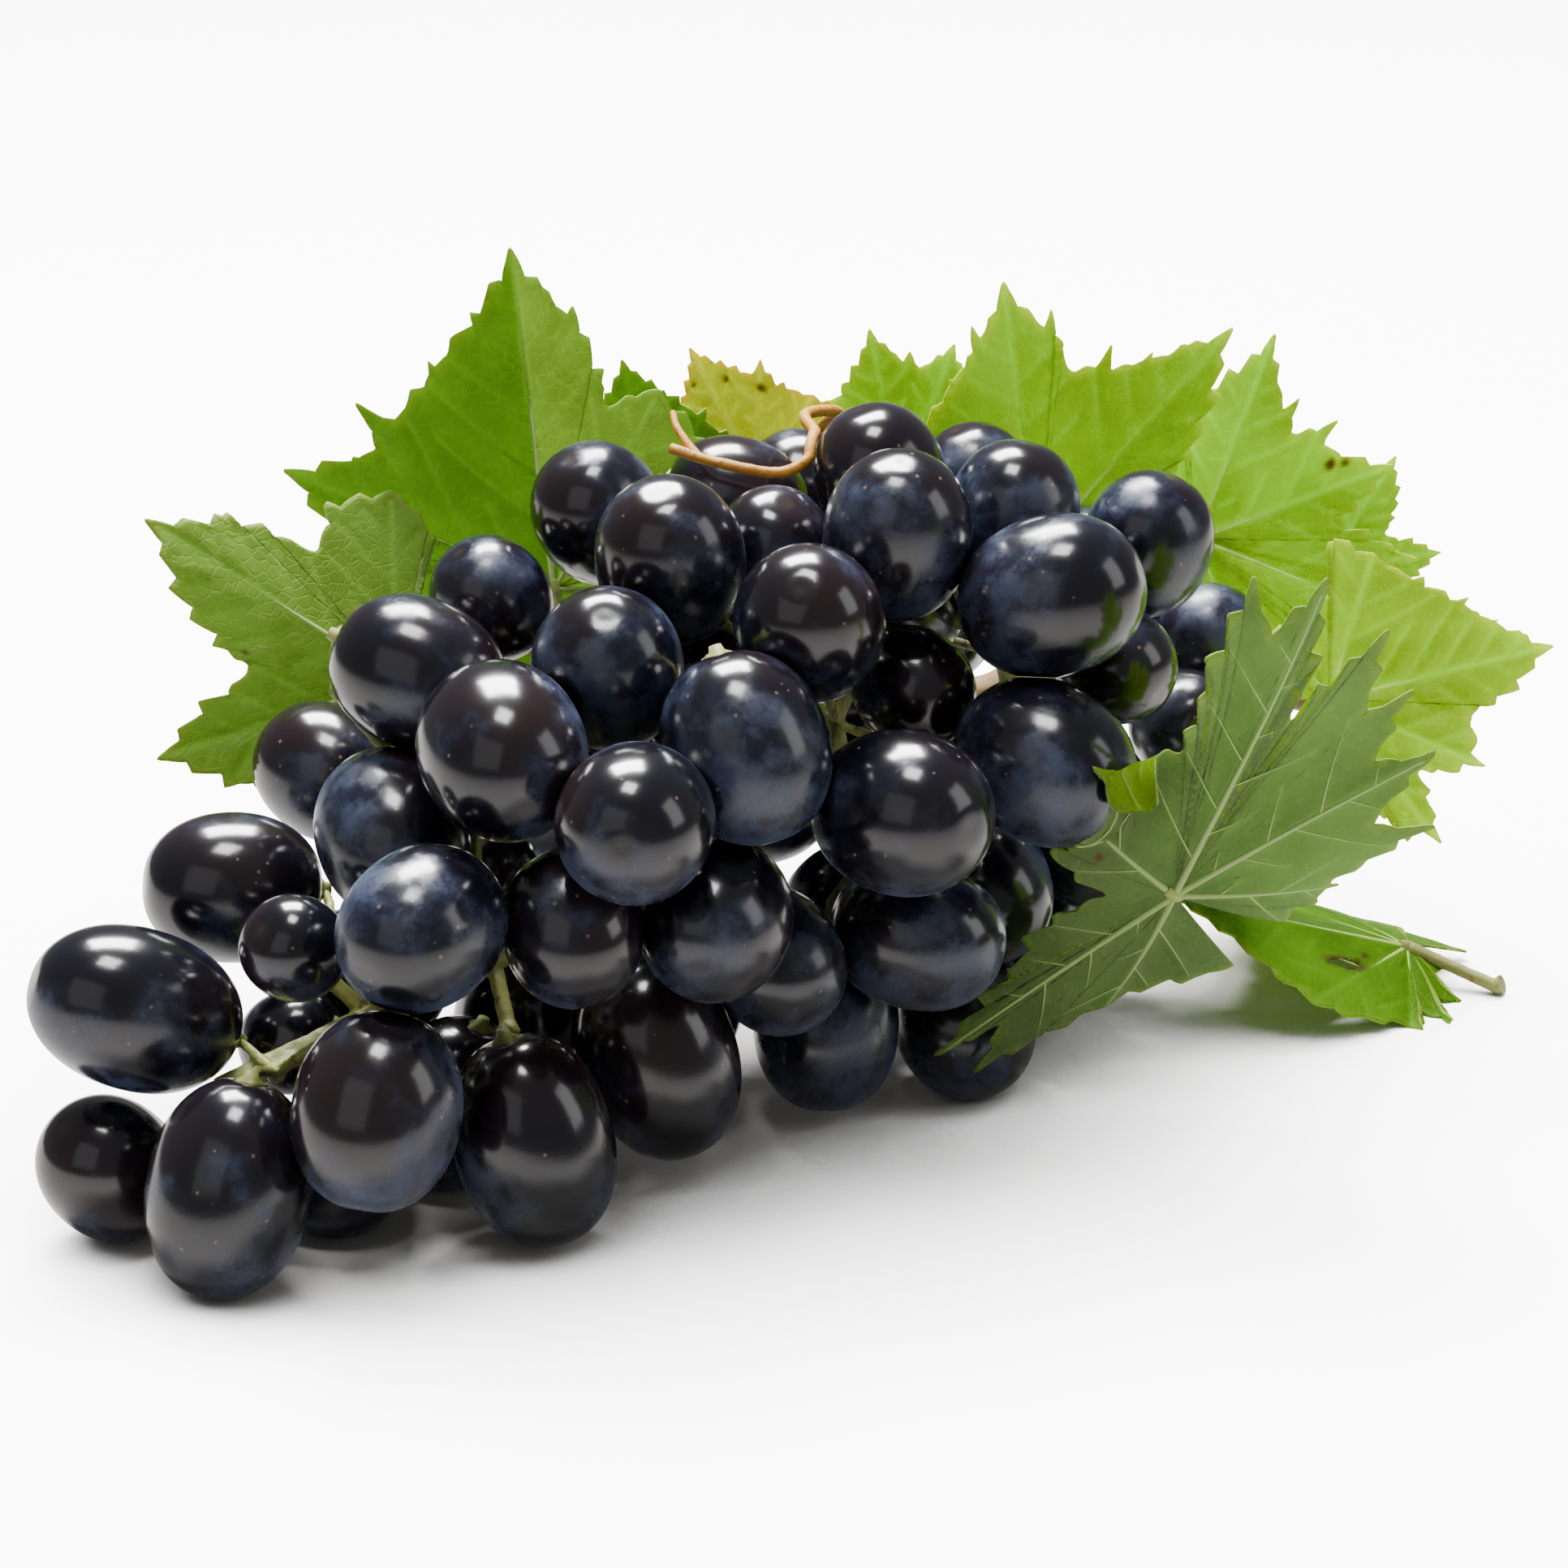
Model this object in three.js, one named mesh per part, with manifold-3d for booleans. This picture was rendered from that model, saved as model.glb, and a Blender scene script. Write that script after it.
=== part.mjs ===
// A bunch of black table grapes lying on its side, with vine leaves tucked round its back.
// Millimetres, +Z up, resting on Z = 0.  +X runs along the bunch from its tip to its shoulder side,
// +Y runs from its front to its back.
import * as THREE from "three";
import { mergeVertices } from "three/addons/utils/BufferGeometryUtils.js";
import Module from "manifold-3d";

const wasm = await Module();
wasm.setup();

// ---------------------------------------------------------------- driving dimensions

const contactGap = 0.35; // left between pieces that touch on the real bunch

// berries: length along the core, and girth
const berrySizes = {
  long: { length: 29, girth: 21.5 },
  full: { length: 26, girth: 22 },
  plain: { length: 24.5, girth: 20.5 },
  lesser: { length: 21, girth: 18.5 },
  small: { length: 18, girth: 16.5 },
  tiny: { length: 14.5, girth: 14 },
};

// stalks, as radii
const peduncleRadius = 2.8;
const rachisRadius = 2;
const lateralRadius = 1.3;
const pedicelRadius = 0.9;
const knotSwelling = 1.3; // a fork is this much thicker than its branch
const stalkEase = 0.2; // more room than the gap, where a stalk bends round a berry
const shootRadius = 3.2;
const petioleRadius = 1.1;
const tendrilRadius = 0.8;

// leaves
const leafThickness = 0.8;
const leafStep = 15; // degrees between two points of a leaf's edge
const leafToothPitch = 30; // degrees from tooth to tooth
const leafToothDepth = 0.1; // as a share of the reach
const notchHalf = 14; // half the notch at the petiole, degrees

// the stalk in the middle of the bunch, from the cut end to the tip
const rachisLine = new THREE.CatmullRomCurve3([
  new THREE.Vector3(64, 82, 41),
  new THREE.Vector3(46, 48, 48),
  new THREE.Vector3(5, 12, 44),
  new THREE.Vector3(-38, -18, 34),
  new THREE.Vector3(-76, -38, 22),
]);

// the piece of shoot behind the bunch, which the stalk and the leaves grow from
const shootLine = new THREE.CatmullRomCurve3([
  new THREE.Vector3(-44, 50, 34),
  new THREE.Vector3(-12, 66, 42),
  new THREE.Vector3(24, 80, 37),
  new THREE.Vector3(58, 84, 41),
  new THREE.Vector3(88, 80, 37),
]);

// ---------------------------------------------------------------- small helpers

const speckSize = 0.02; // corners nearer than this are one corner
const flatHeight = 0.001; // a triangle lower than this is flat

const up = new THREE.Vector3(0, 0, 1);

function at(x, y, z) {
  return new THREE.Vector3(x, y, z);
}

function radians(degrees) {
  return THREE.MathUtils.degToRad(degrees);
}

function solidFrom(geometry) {
  const bare = geometry.clone();
  bare.deleteAttribute("normal");
  bare.deleteAttribute("uv");
  const merged = mergeVertices(bare, 1e-4);
  const mesh = new wasm.Mesh({
    numProp: 3,
    vertProperties: new Float32Array(merged.attributes.position.array),
    triVerts: new Uint32Array(merged.index.array),
  });
  return new wasm.Manifold(mesh);
}

function geometryFrom(solid) {
  const mesh = solid.getMesh();
  const geometry = new THREE.BufferGeometry();
  const places = [];
  for (let i = 0; i < mesh.numVert; i++) {
    const start = i * mesh.numProp;
    places.push(mesh.vertProperties[start], mesh.vertProperties[start + 1], mesh.vertProperties[start + 2]);
  }
  geometry.setAttribute("position", new THREE.Float32BufferAttribute(places, 3));
  geometry.setIndex(Array.from(mesh.triVerts));
  return withoutSpecks(geometry);
}

// Corners closer together than speckSize become one, and the flat triangles this leaves go.
function withoutSpecks(geometry) {
  const welded = mergeVertices(geometry, speckSize);
  const corners = welded.index.array;
  const kept = [];
  for (let i = 0; i < corners.length; i += 3) {
    const [a, b, c] = [corners[i], corners[i + 1], corners[i + 2]];
    if (a !== b && b !== c && c !== a) kept.push(a, b, c);
  }
  turnFlatTriangles(kept, welded.attributes.position);
  welded.setIndex(kept);
  welded.computeVertexNormals();
  return welded;
}

// Where a triangle's three corners lie on one line, the long side it shares with its neighbour is turned
// to run across the pair, so that neither of the two is flat.
function turnFlatTriangles(corners, places) {
  const owners = new Map();
  const side = (i, k) => `${corners[i + k]}_${corners[i + ((k + 1) % 3)]}`;
  for (let i = 0; i < corners.length; i += 3) [0, 1, 2].forEach((k) => owners.set(side(i, k), i));
  const turned = new Set();
  for (let i = 0; i < corners.length; i += 3) {
    const [p, q, r] = [0, 1, 2].map((k) => new THREE.Vector3().fromBufferAttribute(places, corners[i + k]));
    const lengths = [p.distanceTo(q), q.distanceTo(r), r.distanceTo(p)];
    const longest = lengths.indexOf(Math.max(...lengths));
    const height = q.sub(p).cross(r.sub(p)).length() / lengths[longest];
    if (height > flatHeight) continue;
    const [a, b, c] = [0, 1, 2].map((k) => corners[i + ((longest + k) % 3)]);
    const j = owners.get(`${b}_${a}`);
    const d = [0, 1, 2].map((k) => corners[j + k]).find((corner) => corner !== a && corner !== b);
    if (turned.has(i) || turned.has(j) || owners.has(`${c}_${d}`) || owners.has(`${d}_${c}`)) continue;
    corners.splice(i, 3, a, d, c);
    corners.splice(j, 3, d, b, c);
    turned.add(i).add(j);
  }
}

function joined(solids) {
  return solids.reduce((whole, next) => whole.add(next));
}

function biggestPiece(solid) {
  const pieces = solid.decompose();
  return pieces.reduce((best, next) => (next.volume() > best.volume() ? next : best));
}

function tube(points, radius, sides, steps) {
  const outline = new THREE.Shape();
  for (let i = 0; i < sides; i++) {
    const turn = (2 * Math.PI * i) / sides;
    if (i === 0) outline.moveTo(radius * Math.cos(turn), radius * Math.sin(turn));
    else outline.lineTo(radius * Math.cos(turn), radius * Math.sin(turn));
  }
  outline.closePath();
  const path = new THREE.CatmullRomCurve3(points);
  return new THREE.ExtrudeGeometry(outline, { steps, bevelEnabled: false, extrudePath: path });
}

function piecesOf(line, from, to, count) {
  const points = [];
  for (let i = 0; i <= count; i++) points.push(line.getPointAt(from + ((to - from) * i) / count));
  return points;
}

// ---------------------------------------------------------------- where the berries sit

// A berry as it grows: its size, and which way its free end points.
// With no pointing it grows straight away from the stalk.
function berry(size, ...pointing) {
  return { size, pointing: pointing.length ? at(...pointing) : undefined };
}

// The front of the bunch is built in rows.  Each row's berries are spread evenly along a line that is
// guided by a few points (across, depth, height), from the tip of the bunch toward its shoulder.
const frontRows = {
  tip_row: {
    guide: [at(-91, -39, 11), at(-73, -54, 15)],
    berries: [berry("lesser", -0.4, -0.3, 0.6), berry("long", -0.2, -0.3, -0.95)],
  },
  table_row: {
    guide: [at(-53, -57, 28), at(-35, -42, 16), at(-17, -18, 20)],
    berries: [
      berry("full", -0.15, -0.45, -0.85),
      berry("long", 0.25, -0.15, -0.95),
      berry("long", 0.3, -0.15, -0.92),
    ],
  },
  far_row: {
    guide: [at(-87, -36, 33), at(-65, 8, 51)],
    berries: [berry("long", -0.9, -0.25, 0.42), berry("plain", -0.95, -0.2, 0.1), berry("lesser")],
  },
  saddle_row: {
    guide: [at(-41, 10, 76), at(-26, 18, 86)],
    berries: [berry("small", -0.4, -0.2, 0.7), berry("lesser", -0.35, -0.35, 0.85)],
  },
  low_row: {
    guide: [at(-65, -39, 43), at(-45, -48, 49), at(-9, -32, 46)],
    berries: [
      berry("tiny"),
      berry("plain", -0.5, -0.8, -0.2),
      berry("lesser", 0.2, -0.6, -0.6),
      berry("plain", -0.1, -0.95, -0.2),
    ],
  },
  belly_row: {
    guide: [at(-53, -20, 53), at(-36, -33, 68)],
    berries: [berry("plain", 0.3, -0.75, -0.5), berry("full", 0.3, -0.9, -0.3)],
  },
  waist_row: {
    guide: [at(-20, -38, 62), at(-4, -28, 66)],
    berries: [berry("plain", -0.1, -1, 0.1), berry("full", 0.28, -0.4, -0.85)],
  },
  hip_row: {
    guide: [at(14, -26, 58), at(36, -8, 59)],
    berries: [berry("full", 0.65, -0.7, 0.1), berry("full", 0.75, -0.6, -0.3)],
  },
  flank_row: {
    guide: [at(-50, -11, 71), at(3, -14, 78)],
    berries: [
      berry("plain", 0.92, -0.2, -0.38),
      berry("plain", 0, -0.55, 0.8),
      berry("plain", -0.1, -0.7, 0.6),
    ],
  },
  crest_row: {
    guide: [at(-16, 0, 83), at(-2, 14, 82)],
    berries: [berry("plain", -0.12, -0.4, 0.88), berry("small", 0.2, -0.4, 0.8)],
  },
  ridge_row: {
    guide: [at(-7, 34, 83), at(14, 27, 88)],
    berries: [berry("lesser", 0.9, -0.1, -0.25), berry("lesser", -0.3, 0, 0.9)],
  },
  hind_row: {
    guide: [at(2, 52, 78), at(28, 40, 84)],
    berries: [berry("lesser", 0.2, 0.3, 0.8), berry("small")],
  },
  shoulder_row: {
    guide: [at(17, 2, 86), at(36, 21, 85), at(52, 26, 79)],
    berries: [
      berry("plain", 0.05, -0.3, 0.95),
      berry("lesser", 0.2, 0.1, 0.9),
      berry("lesser", 0.3, 0, 0.9),
    ],
  },
  end_row: {
    guide: [at(35, 0, 80), at(59, 30, 50)],
    berries: [berry("full", 0.9, -0.2, 0.35), berry("small", 0.6, -0.6, -0.3), berry("small")],
  },
  lower_row: {
    guide: [at(0, -16, 32), at(17, -11, 33)],
    berries: [berry("lesser", 0.4, -0.6, -0.5), berry("plain", 0.95, -0.3, -0.12)],
  },
  gap_row: {
    guide: [at(18, 4, 65), at(63, 46, 58)],
    berries: [berry("small", 0.5, -0.7, -0.2), berry("small")],
  },
};

// Berries in the shade under the belly and inside, which grow on the lower branches.
const shadeRows = {
  under_tip: {
    guide: [at(-67, -26, 24), at(-59, -32, 10)],
    berries: [berry("tiny"), berry("lesser")],
  },
  under_belly: {
    guide: [at(29, 8, 33), at(44, 22, 36)],
    berries: [berry("lesser"), berry("lesser")],
  },
  shoulder_end: {
    guide: [at(60, 44, 36), at(46, 55, 64)],
    berries: [berry("lesser"), berry("plain")],
  },
  under_shoulder: {
    guide: [at(6, 2, 15), at(23, 13, 13), at(37, 32, 16)],
    berries: [berry("plain"), berry("plain", 0.2, -0.6, -0.6), berry("plain")],
  },
};

function homesOf(rows) {
  return Object.entries(rows).flatMap(([row, { guide, berries }]) => {
    const line = new THREE.CatmullRomCurve3(guide);
    return berries.map((grown, i) => ({
      ...grown,
      home: line.getPointAt(i / (berries.length - 1)),
      name: `${row}_berry_${i + 1}`,
    }));
  });
}

const frontHomes = homesOf(frontRows);
const shadeHomes = homesOf(shadeRows);

// the back of the bunch: rings round the stalk, thinner toward the tip
const backRings = 9;
const backRingFirst = 0.18; // as a share of the stalk's length
const backRingLast = 0.93;
const backClocks = [175, 208, 241, 274, 307, 340]; // degrees round the stalk, 0 is up and 90 is the front
const backReachShoulder = 31;
const backReachTip = 16;
const lowestHome = 11;
const hindmostHome = 56;
const homeRoom = 16; // a back berry that would start nearer than this to another is left out

function aroundStalk(share, clock, reach) {
  const ahead = rachisLine.getTangentAt(share);
  const front = new THREE.Vector3().crossVectors(up, ahead).normalize();
  const crown = new THREE.Vector3().crossVectors(ahead, front).normalize();
  const outward = crown.multiplyScalar(Math.cos(radians(clock)));
  outward.addScaledVector(front, Math.sin(radians(clock)));
  return rachisLine.getPointAt(share).addScaledVector(outward, reach);
}

function backHomes(taken) {
  const homes = [];
  for (let ring = 0; ring < backRings; ring++) {
    const share = backRingFirst + ((backRingLast - backRingFirst) * ring) / (backRings - 1);
    const reach = backReachShoulder + (backReachTip - backReachShoulder) * share;
    for (const clock of backClocks) {
      const turned = clock + (ring % 2 ? 17 : 0);
      const home = aroundStalk(share, turned, reach);
      home.z = Math.max(home.z, lowestHome);
      home.y = Math.min(home.y, hindmostHome);
      const crowded = [...taken, ...homes].some((other) => other.home.distanceTo(home) < homeRoom);
      if (!crowded) homes.push({ home, size: ring % 2 ? "plain" : "lesser" });
    }
  }
  return homes;
}

function nearestShare(place) {
  let best = 0;
  for (let share = 0; share <= 1; share += 0.02) {
    const gap = rachisLine.getPointAt(share).distanceTo(place);
    if (gap < rachisLine.getPointAt(best).distanceTo(place)) best = share;
  }
  return best;
}

function berryFrom(start) {
  const { length, girth } = berrySizes[start.size];
  const root = rachisLine.getPointAt(Math.max(0, nearestShare(start.home) - 0.06));
  const pointing = (start.pointing ?? start.home.clone().sub(root)).clone().normalize();
  return {
    name: start.name,
    home: start.home,
    middle: start.home.clone(),
    pointing,
    long: length / 2,
    round: girth / 2,
  };
}

// how far a berry reaches from its middle in a direction
function reachToward(berry, direction) {
  const along = berry.pointing.dot(direction);
  const across = 1 - along * along;
  return Math.sqrt(berry.long ** 2 * along ** 2 + berry.round ** 2 * across);
}

// Berries give way mostly front to back, and rest on the table, until none presses into another.
const givesWay = at(0.45, 1, 0.45);
const settleRounds = 900;
const homingRounds = 420;
const homingPull = 0.02;

function settle(berries) {
  for (let round = 0; round < settleRounds; round++) {
    for (const berry of berries) {
      if (round < homingRounds) berry.middle.lerp(berry.home, homingPull);
    }
    for (let i = 0; i < berries.length; i++) {
      for (let j = i + 1; j < berries.length; j++) {
        pressApart(berries[i], berries[j]);
      }
    }
    for (const berry of berries) {
      berry.middle.z = Math.max(berry.middle.z, reachToward(berry, up));
    }
  }
}

function pressApart(one, other) {
  const between = other.middle.clone().sub(one.middle);
  const apart = between.length();
  if (apart > one.long + other.long + contactGap) return;
  between.divideScalar(apart);
  const needed = reachToward(one, between) + reachToward(other, between) + contactGap;
  if (apart >= needed) return;
  const push = between.clone().multiply(givesWay);
  push.multiplyScalar((needed - apart) / (2 * push.dot(between)));
  one.middle.sub(push);
  other.middle.add(push);
}

const frontBerries = frontHomes.map(berryFrom);
const shadeBerries = shadeHomes.map(berryFrom);
const backBerries = backHomes([...frontHomes, ...shadeHomes]).map(berryFrom);
const allBerries = [...frontBerries, ...shadeBerries, ...backBerries];
settle(allBerries);

const singleDetail = { around: 10, along: 7 };
const clusterDetail = { around: 8, along: 5 };

function berryGeometry(berry, detail, growth) {
  const geometry = new THREE.SphereGeometry(1, detail.around, detail.along);
  geometry.scale(berry.round + growth, berry.long + growth, berry.round + growth);
  const turn = new THREE.Quaternion().setFromUnitVectors(at(0, 1, 0), berry.pointing);
  geometry.applyQuaternion(turn);
  geometry.translate(berry.middle.x, berry.middle.y, berry.middle.z);
  return geometry;
}

// ---------------------------------------------------------------- ways through the bunch

// Moves a point out of any berry it is in or too near to.
function keepClear(point, room, berries) {
  for (const berry of berries) {
    const away = point.clone().sub(berry.middle);
    if (away.length() > berry.long + room + 1) continue;
    const along = away.dot(berry.pointing);
    const sideways = away.clone().addScaledVector(berry.pointing, -along);
    const depth = Math.sqrt((along / berry.long) ** 2 + sideways.lengthSq() / berry.round ** 2);
    const slope = berry.pointing.clone().multiplyScalar(along / berry.long ** 2);
    slope.addScaledVector(sideways, 1 / berry.round ** 2);
    const steepness = slope.length() / Math.max(depth, 0.05);
    const clearance = (depth - 1) / steepness;
    if (clearance < room) point.addScaledVector(slope.normalize(), room - clearance);
  }
  point.z = Math.max(point.z, room);
}

const springRounds = 90;
const springPull = 0.35;

// A springy line between two points that bends round the berries in its way.
function wayThrough(from, to, room, steps) {
  const points = [];
  for (let i = 0; i <= steps; i++) points.push(from.clone().lerp(to, i / steps));
  for (let round = 0; round < springRounds; round++) {
    for (let i = 1; i < steps; i++) {
      const middle = points[i - 1].clone().add(points[i + 1]).multiplyScalar(0.5);
      points[i].lerp(middle, springPull);
      keepClear(points[i], room, allBerries);
    }
  }
  return points;
}

// The stem end of a berry, or a point a little outside or inside it.
function stemEnd(berry, outside) {
  return berry.middle.clone().addScaledVector(berry.pointing, -(berry.long + outside));
}

// One side branch of the stalk: where it forks, and its berries.
function branchTo(berries) {
  const middle = berries.reduce((sum, berry) => sum.add(berry.middle), at(0, 0, 0));
  middle.divideScalar(berries.length);
  const share = Math.max(0.02, nearestShare(middle) - 0.04);
  const root = rachisLine.getPointAt(share);
  const fork = root.clone().lerp(middle, 0.4);
  for (let round = 0; round < 20; round++) keepClear(fork, lateralRadius + contactGap, allBerries);
  return { berries, root, fork };
}

function branchTubes(branch, extra, stemGap, rootGap) {
  const room = lateralRadius + contactGap + stalkEase;
  const root = branch.root.clone().lerp(branch.fork, rootGap / branch.root.distanceTo(branch.fork));
  const arm = wayThrough(root, branch.fork, room, 5);
  const knot = new THREE.SphereGeometry(lateralRadius * knotSwelling + extra, 6, 4);
  knot.translate(branch.fork.x, branch.fork.y, branch.fork.z);
  const tubes = [tube(arm, lateralRadius + extra, 5, 4), knot];
  for (const berry of branch.berries) {
    const way = wayThrough(branch.fork, stemEnd(berry, stemGap), pedicelRadius + contactGap + stalkEase, 6);
    tubes.push(tube(way, pedicelRadius + extra, 4, 5));
  }
  return tubes.map(solidFrom);
}

function groupsBy(berries, label) {
  const groups = new Map();
  for (const berry of berries) {
    const name = label(berry);
    if (!groups.has(name)) groups.set(name, []);
    groups.get(name).push(berry);
  }
  return [...groups.values()];
}

// ---------------------------------------------------------------- leaves

// Where the lobes of a vine leaf point, away from the midrib, and how far they reach for a midrib of 1.
const vineLobes = [
  { turn: 50, reach: 0.86 },
  { turn: 102, reach: 0.64 },
  { turn: 145, reach: 0.44 },
];
const shortestReach = 0.12;
// Bays between the lobes: degrees off the midrib, left positive, half width in degrees, share cut away.
const vineBays = [-124, -77, -27, 27, 77, 124].map((turn) => bay(turn, 10, 0.25));
const lobeTaper = 1.15; // the higher, the narrower a lobe

function bay(turn, width, depth) {
  return { turn, width, depth };
}

// Lobes beside the midrib: degrees off it, reach for a midrib of 1, and a taper of their own if any.
function lobes(...rows) {
  return rows.map(([turn, reach, taper = lobeTaper]) => ({ turn, reach, taper }));
}

// Each leaf: where its petiole joins the blade, the tip of its midrib, which way its upper face looks,
// how much each half folds up (left, right), curls on (cup) and waves, how the midrib bends,
// and where along the shoot its petiole grows.
const leaves = {
  leaf_left: {
    joint: at(-56, 28, 58),
    tip: at(-90, 23, 83),
    face: at(0.1, -1, 0.3),
    rightLobes: lobes([22, 0.5], [60, 0.4], [110, 0.3]),
    bays: vineBays,
    fold: [8, -25],
    cup: [10, 0],
    bend: -10,
    wave: 1.2,
    grows: 0.02,
  },
  leaf_tall_left: {
    joint: at(-34, 43, 67),
    tip: at(-40, 42, 117),
    face: at(-0.2, -1, 0),
    leftLobes: lobes([21, 0.76, 1.6], [40, 0.77, 1.6], [61, 0.85], [105, 0.5]),
    rightLobes: lobes([12, 0.84], [40, 0.6], [105, 0.45]),
    bays: [bay(84, 12, 0.3), bay(-26, 8, 0.2), bay(-75, 12, 0.3)],
    fold: [4, -42],
    cup: [0, 0],
    bend: -8,
    wave: 1,
    grows: 0.1,
  },
  leaf_small_dark: {
    joint: at(-19, 60, 76),
    tip: at(-24, 60, 97),
    face: at(-0.3, -1, 0.1),
    leftLobes: lobes([60, 0.5]),
    rightLobes: lobes([42, 0.72], [90, 0.6]),
    fold: [30, -10],
    cup: [0, -40],
    bend: 0,
    wave: 1,
    grows: 0.2,
  },
  leaf_small_yellow: {
    joint: at(-4, 67, 77),
    tip: at(-14, 67, 97),
    face: at(0.1, -1, 0.2),
    leftLobes: lobes([45, 0.5], [100, 0.4]),
    rightLobes: lobes([28, 0.8], [60, 0.62], [110, 0.4]),
    fold: [10, 5],
    cup: [0, 0],
    bend: 0,
    wave: 0.8,
    grows: 0.34,
  },
  leaf_small_middle: {
    joint: at(18, 75, 73),
    tip: at(13, 74, 98),
    face: at(0.1, -1, 0.1),
    leftLobes: lobes([45, 0.5], [100, 0.4]),
    rightLobes: lobes([14, 0.86], [30, 0.95], [70, 0.6], [110, 0.4]),
    fold: [10, 12],
    cup: [0, 0],
    bend: 0,
    wave: 0.8,
    grows: 0.46,
  },
  leaf_bright_left: {
    joint: at(39, 72, 64),
    tip: at(33, 70, 106),
    face: at(0.1, -1, 0.1),
    leftLobes: lobes([9, 0.9, 2], [19, 0.76, 2], [50, 0.6], [90, 0.45]),
    rightLobes: lobes([10, 0.9, 2], [26, 0.8, 2], [36, 0.84, 2], [47, 1.06, 1.5], [100, 0.5]),
    bays: [bay(-17, 4, 0.1), bay(-75, 14, 0.3)],
    fold: [12, 4],
    cup: [20, 0],
    bend: 0,
    wave: 1.4,
    grows: 0.62,
  },
  leaf_bright_right: {
    joint: at(64, 78, 64),
    tip: at(93, 76, 76),
    face: at(-0.1, -1, 0.2),
    leftLobes: lobes([20, 0.88, 1.8], [34, 0.84, 1.8], [49, 1.05, 1.6], [100, 0.5]),
    rightLobes: lobes([26, 1.07, 1.8], [42, 1.3, 1.6], [90, 0.7]),
    bays: [bay(-14, 6, 0.15), bay(-33, 4, 0.12), bay(-68, 9, 0.25)],
    fold: [4, 8],
    cup: [0, 0],
    bend: -6,
    wave: 1.4,
    grows: 0.78,
  },
  leaf_bright_hind: {
    joint: at(85, 85, 57),
    tip: at(95, 85, 75),
    face: at(0, -1, 0.1),
    bays: vineBays,
    fold: [6, 6],
    cup: [0, 0],
    bend: 0,
    wave: 0.8,
    grows: 0.9,
  },
  leaf_end: {
    joint: at(81, 42, 50),
    tip: at(113, 40, 59),
    face: at(-0.1, -1, 0.4),
    leftLobes: lobes([12, 0.82, 2], [23, 0.76, 1.6], [60, 0.6], [110, 0.4]),
    rightLobes: lobes([37, 0.74, 1.6], [66, 0.8, 1.6], [110, 0.5]),
    bays: [bay(-20, 7, 0.15), bay(-52, 6, 0.22)],
    fold: [10, 4],
    cup: [0, 10],
    bend: -4,
    wave: 1.2,
    grows: 0.98,
  },
  leaf_front: {
    joint: at(54, -12, 40),
    tip: at(38, -17, 54),
    face: at(0.25, 1, -0.1),
    leftLobes: lobes(
      [60, 2.4, 2.2],
      [69, 2.5, 2.4],
      [81, 2.3, 2],
      [93, 2, 2],
      [105, 1.85, 2],
      [121, 1.62, 2],
      [143, 1.1, 2],
    ),
    rightLobes: lobes([84, 2, 4], [93, 1.9, 2], [115, 1.1, 1.5]),
    bays: [bay(47, 9, 0.4), bay(75, 4, 0.25), bay(-45, 16, 0.5)],
    fold: [0, 8],
    cup: [-6, 4],
    bend: 26,
    wave: 1.2,
    cutEnd: at(72, 12, 36),
  },
  leaf_low: {
    joint: at(96, 53, 6),
    tip: at(56, 34, 22),
    face: at(0.1, -0.4, 1),
    leftLobes: lobes([16, 0.72], [34, 0.4], [70, 0.2]),
    rightLobes: lobes([20, 0.8], [45, 0.6], [90, 0.4]),
    fold: [-2, -25],
    cup: [-12, -15],
    bend: 0,
    wave: 0.8,
    cutEnd: at(110, 47, 1.5),
  },
};

function lobeEdge(lobe, turn) {
  const away = Math.abs(turn - lobe.turn);
  if (away > 75) return 0;
  return lobe.reach / (Math.cos(radians(away)) + lobe.taper * Math.sin(radians(away)));
}

// How far the edge of a leaf is from its joint, for a midrib of 1; left of the midrib is positive.
function edgeReach(leaf, angle) {
  const turn = Math.abs(angle);
  const side = (angle > 0 ? leaf.leftLobes : leaf.rightLobes) ?? vineLobes;
  const all = [...lobes([0, 1]), ...side];
  const nearest = all.reduce((best, lobe) => (lobeEdge(lobe, turn) > lobeEdge(best, turn) ? lobe : best));
  const step = (Math.abs(turn - nearest.turn) / leafToothPitch) % 1;
  const dent = 1 - Math.abs(2 * step - 1);
  let reach = lobeEdge(nearest, turn);
  for (const dip of leaf.bays ?? []) {
    const away = (angle - dip.turn) / dip.width;
    reach *= 1 - dip.depth * Math.exp(-(away ** 2));
  }
  return Math.max(shortestReach, reach) * (1 - leafToothDepth * dent);
}

function leafFrame(leaf) {
  const ahead = leaf.tip.clone().sub(leaf.joint);
  const length = ahead.length();
  ahead.normalize();
  const left = new THREE.Vector3().crossVectors(leaf.face, ahead).normalize();
  const face = new THREE.Vector3().crossVectors(ahead, left);
  return { ahead, left, face, length };
}

// A strip of given length that starts at an angle and keeps curving: how far along and how far up it ends.
function curved(length, start, curve) {
  if (Math.abs(curve) < 1e-6) return [length * Math.cos(start), length * Math.sin(start)];
  const end = start + curve * length;
  return [(Math.sin(end) - Math.sin(start)) / curve, (Math.cos(start) - Math.cos(end)) / curve];
}

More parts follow.
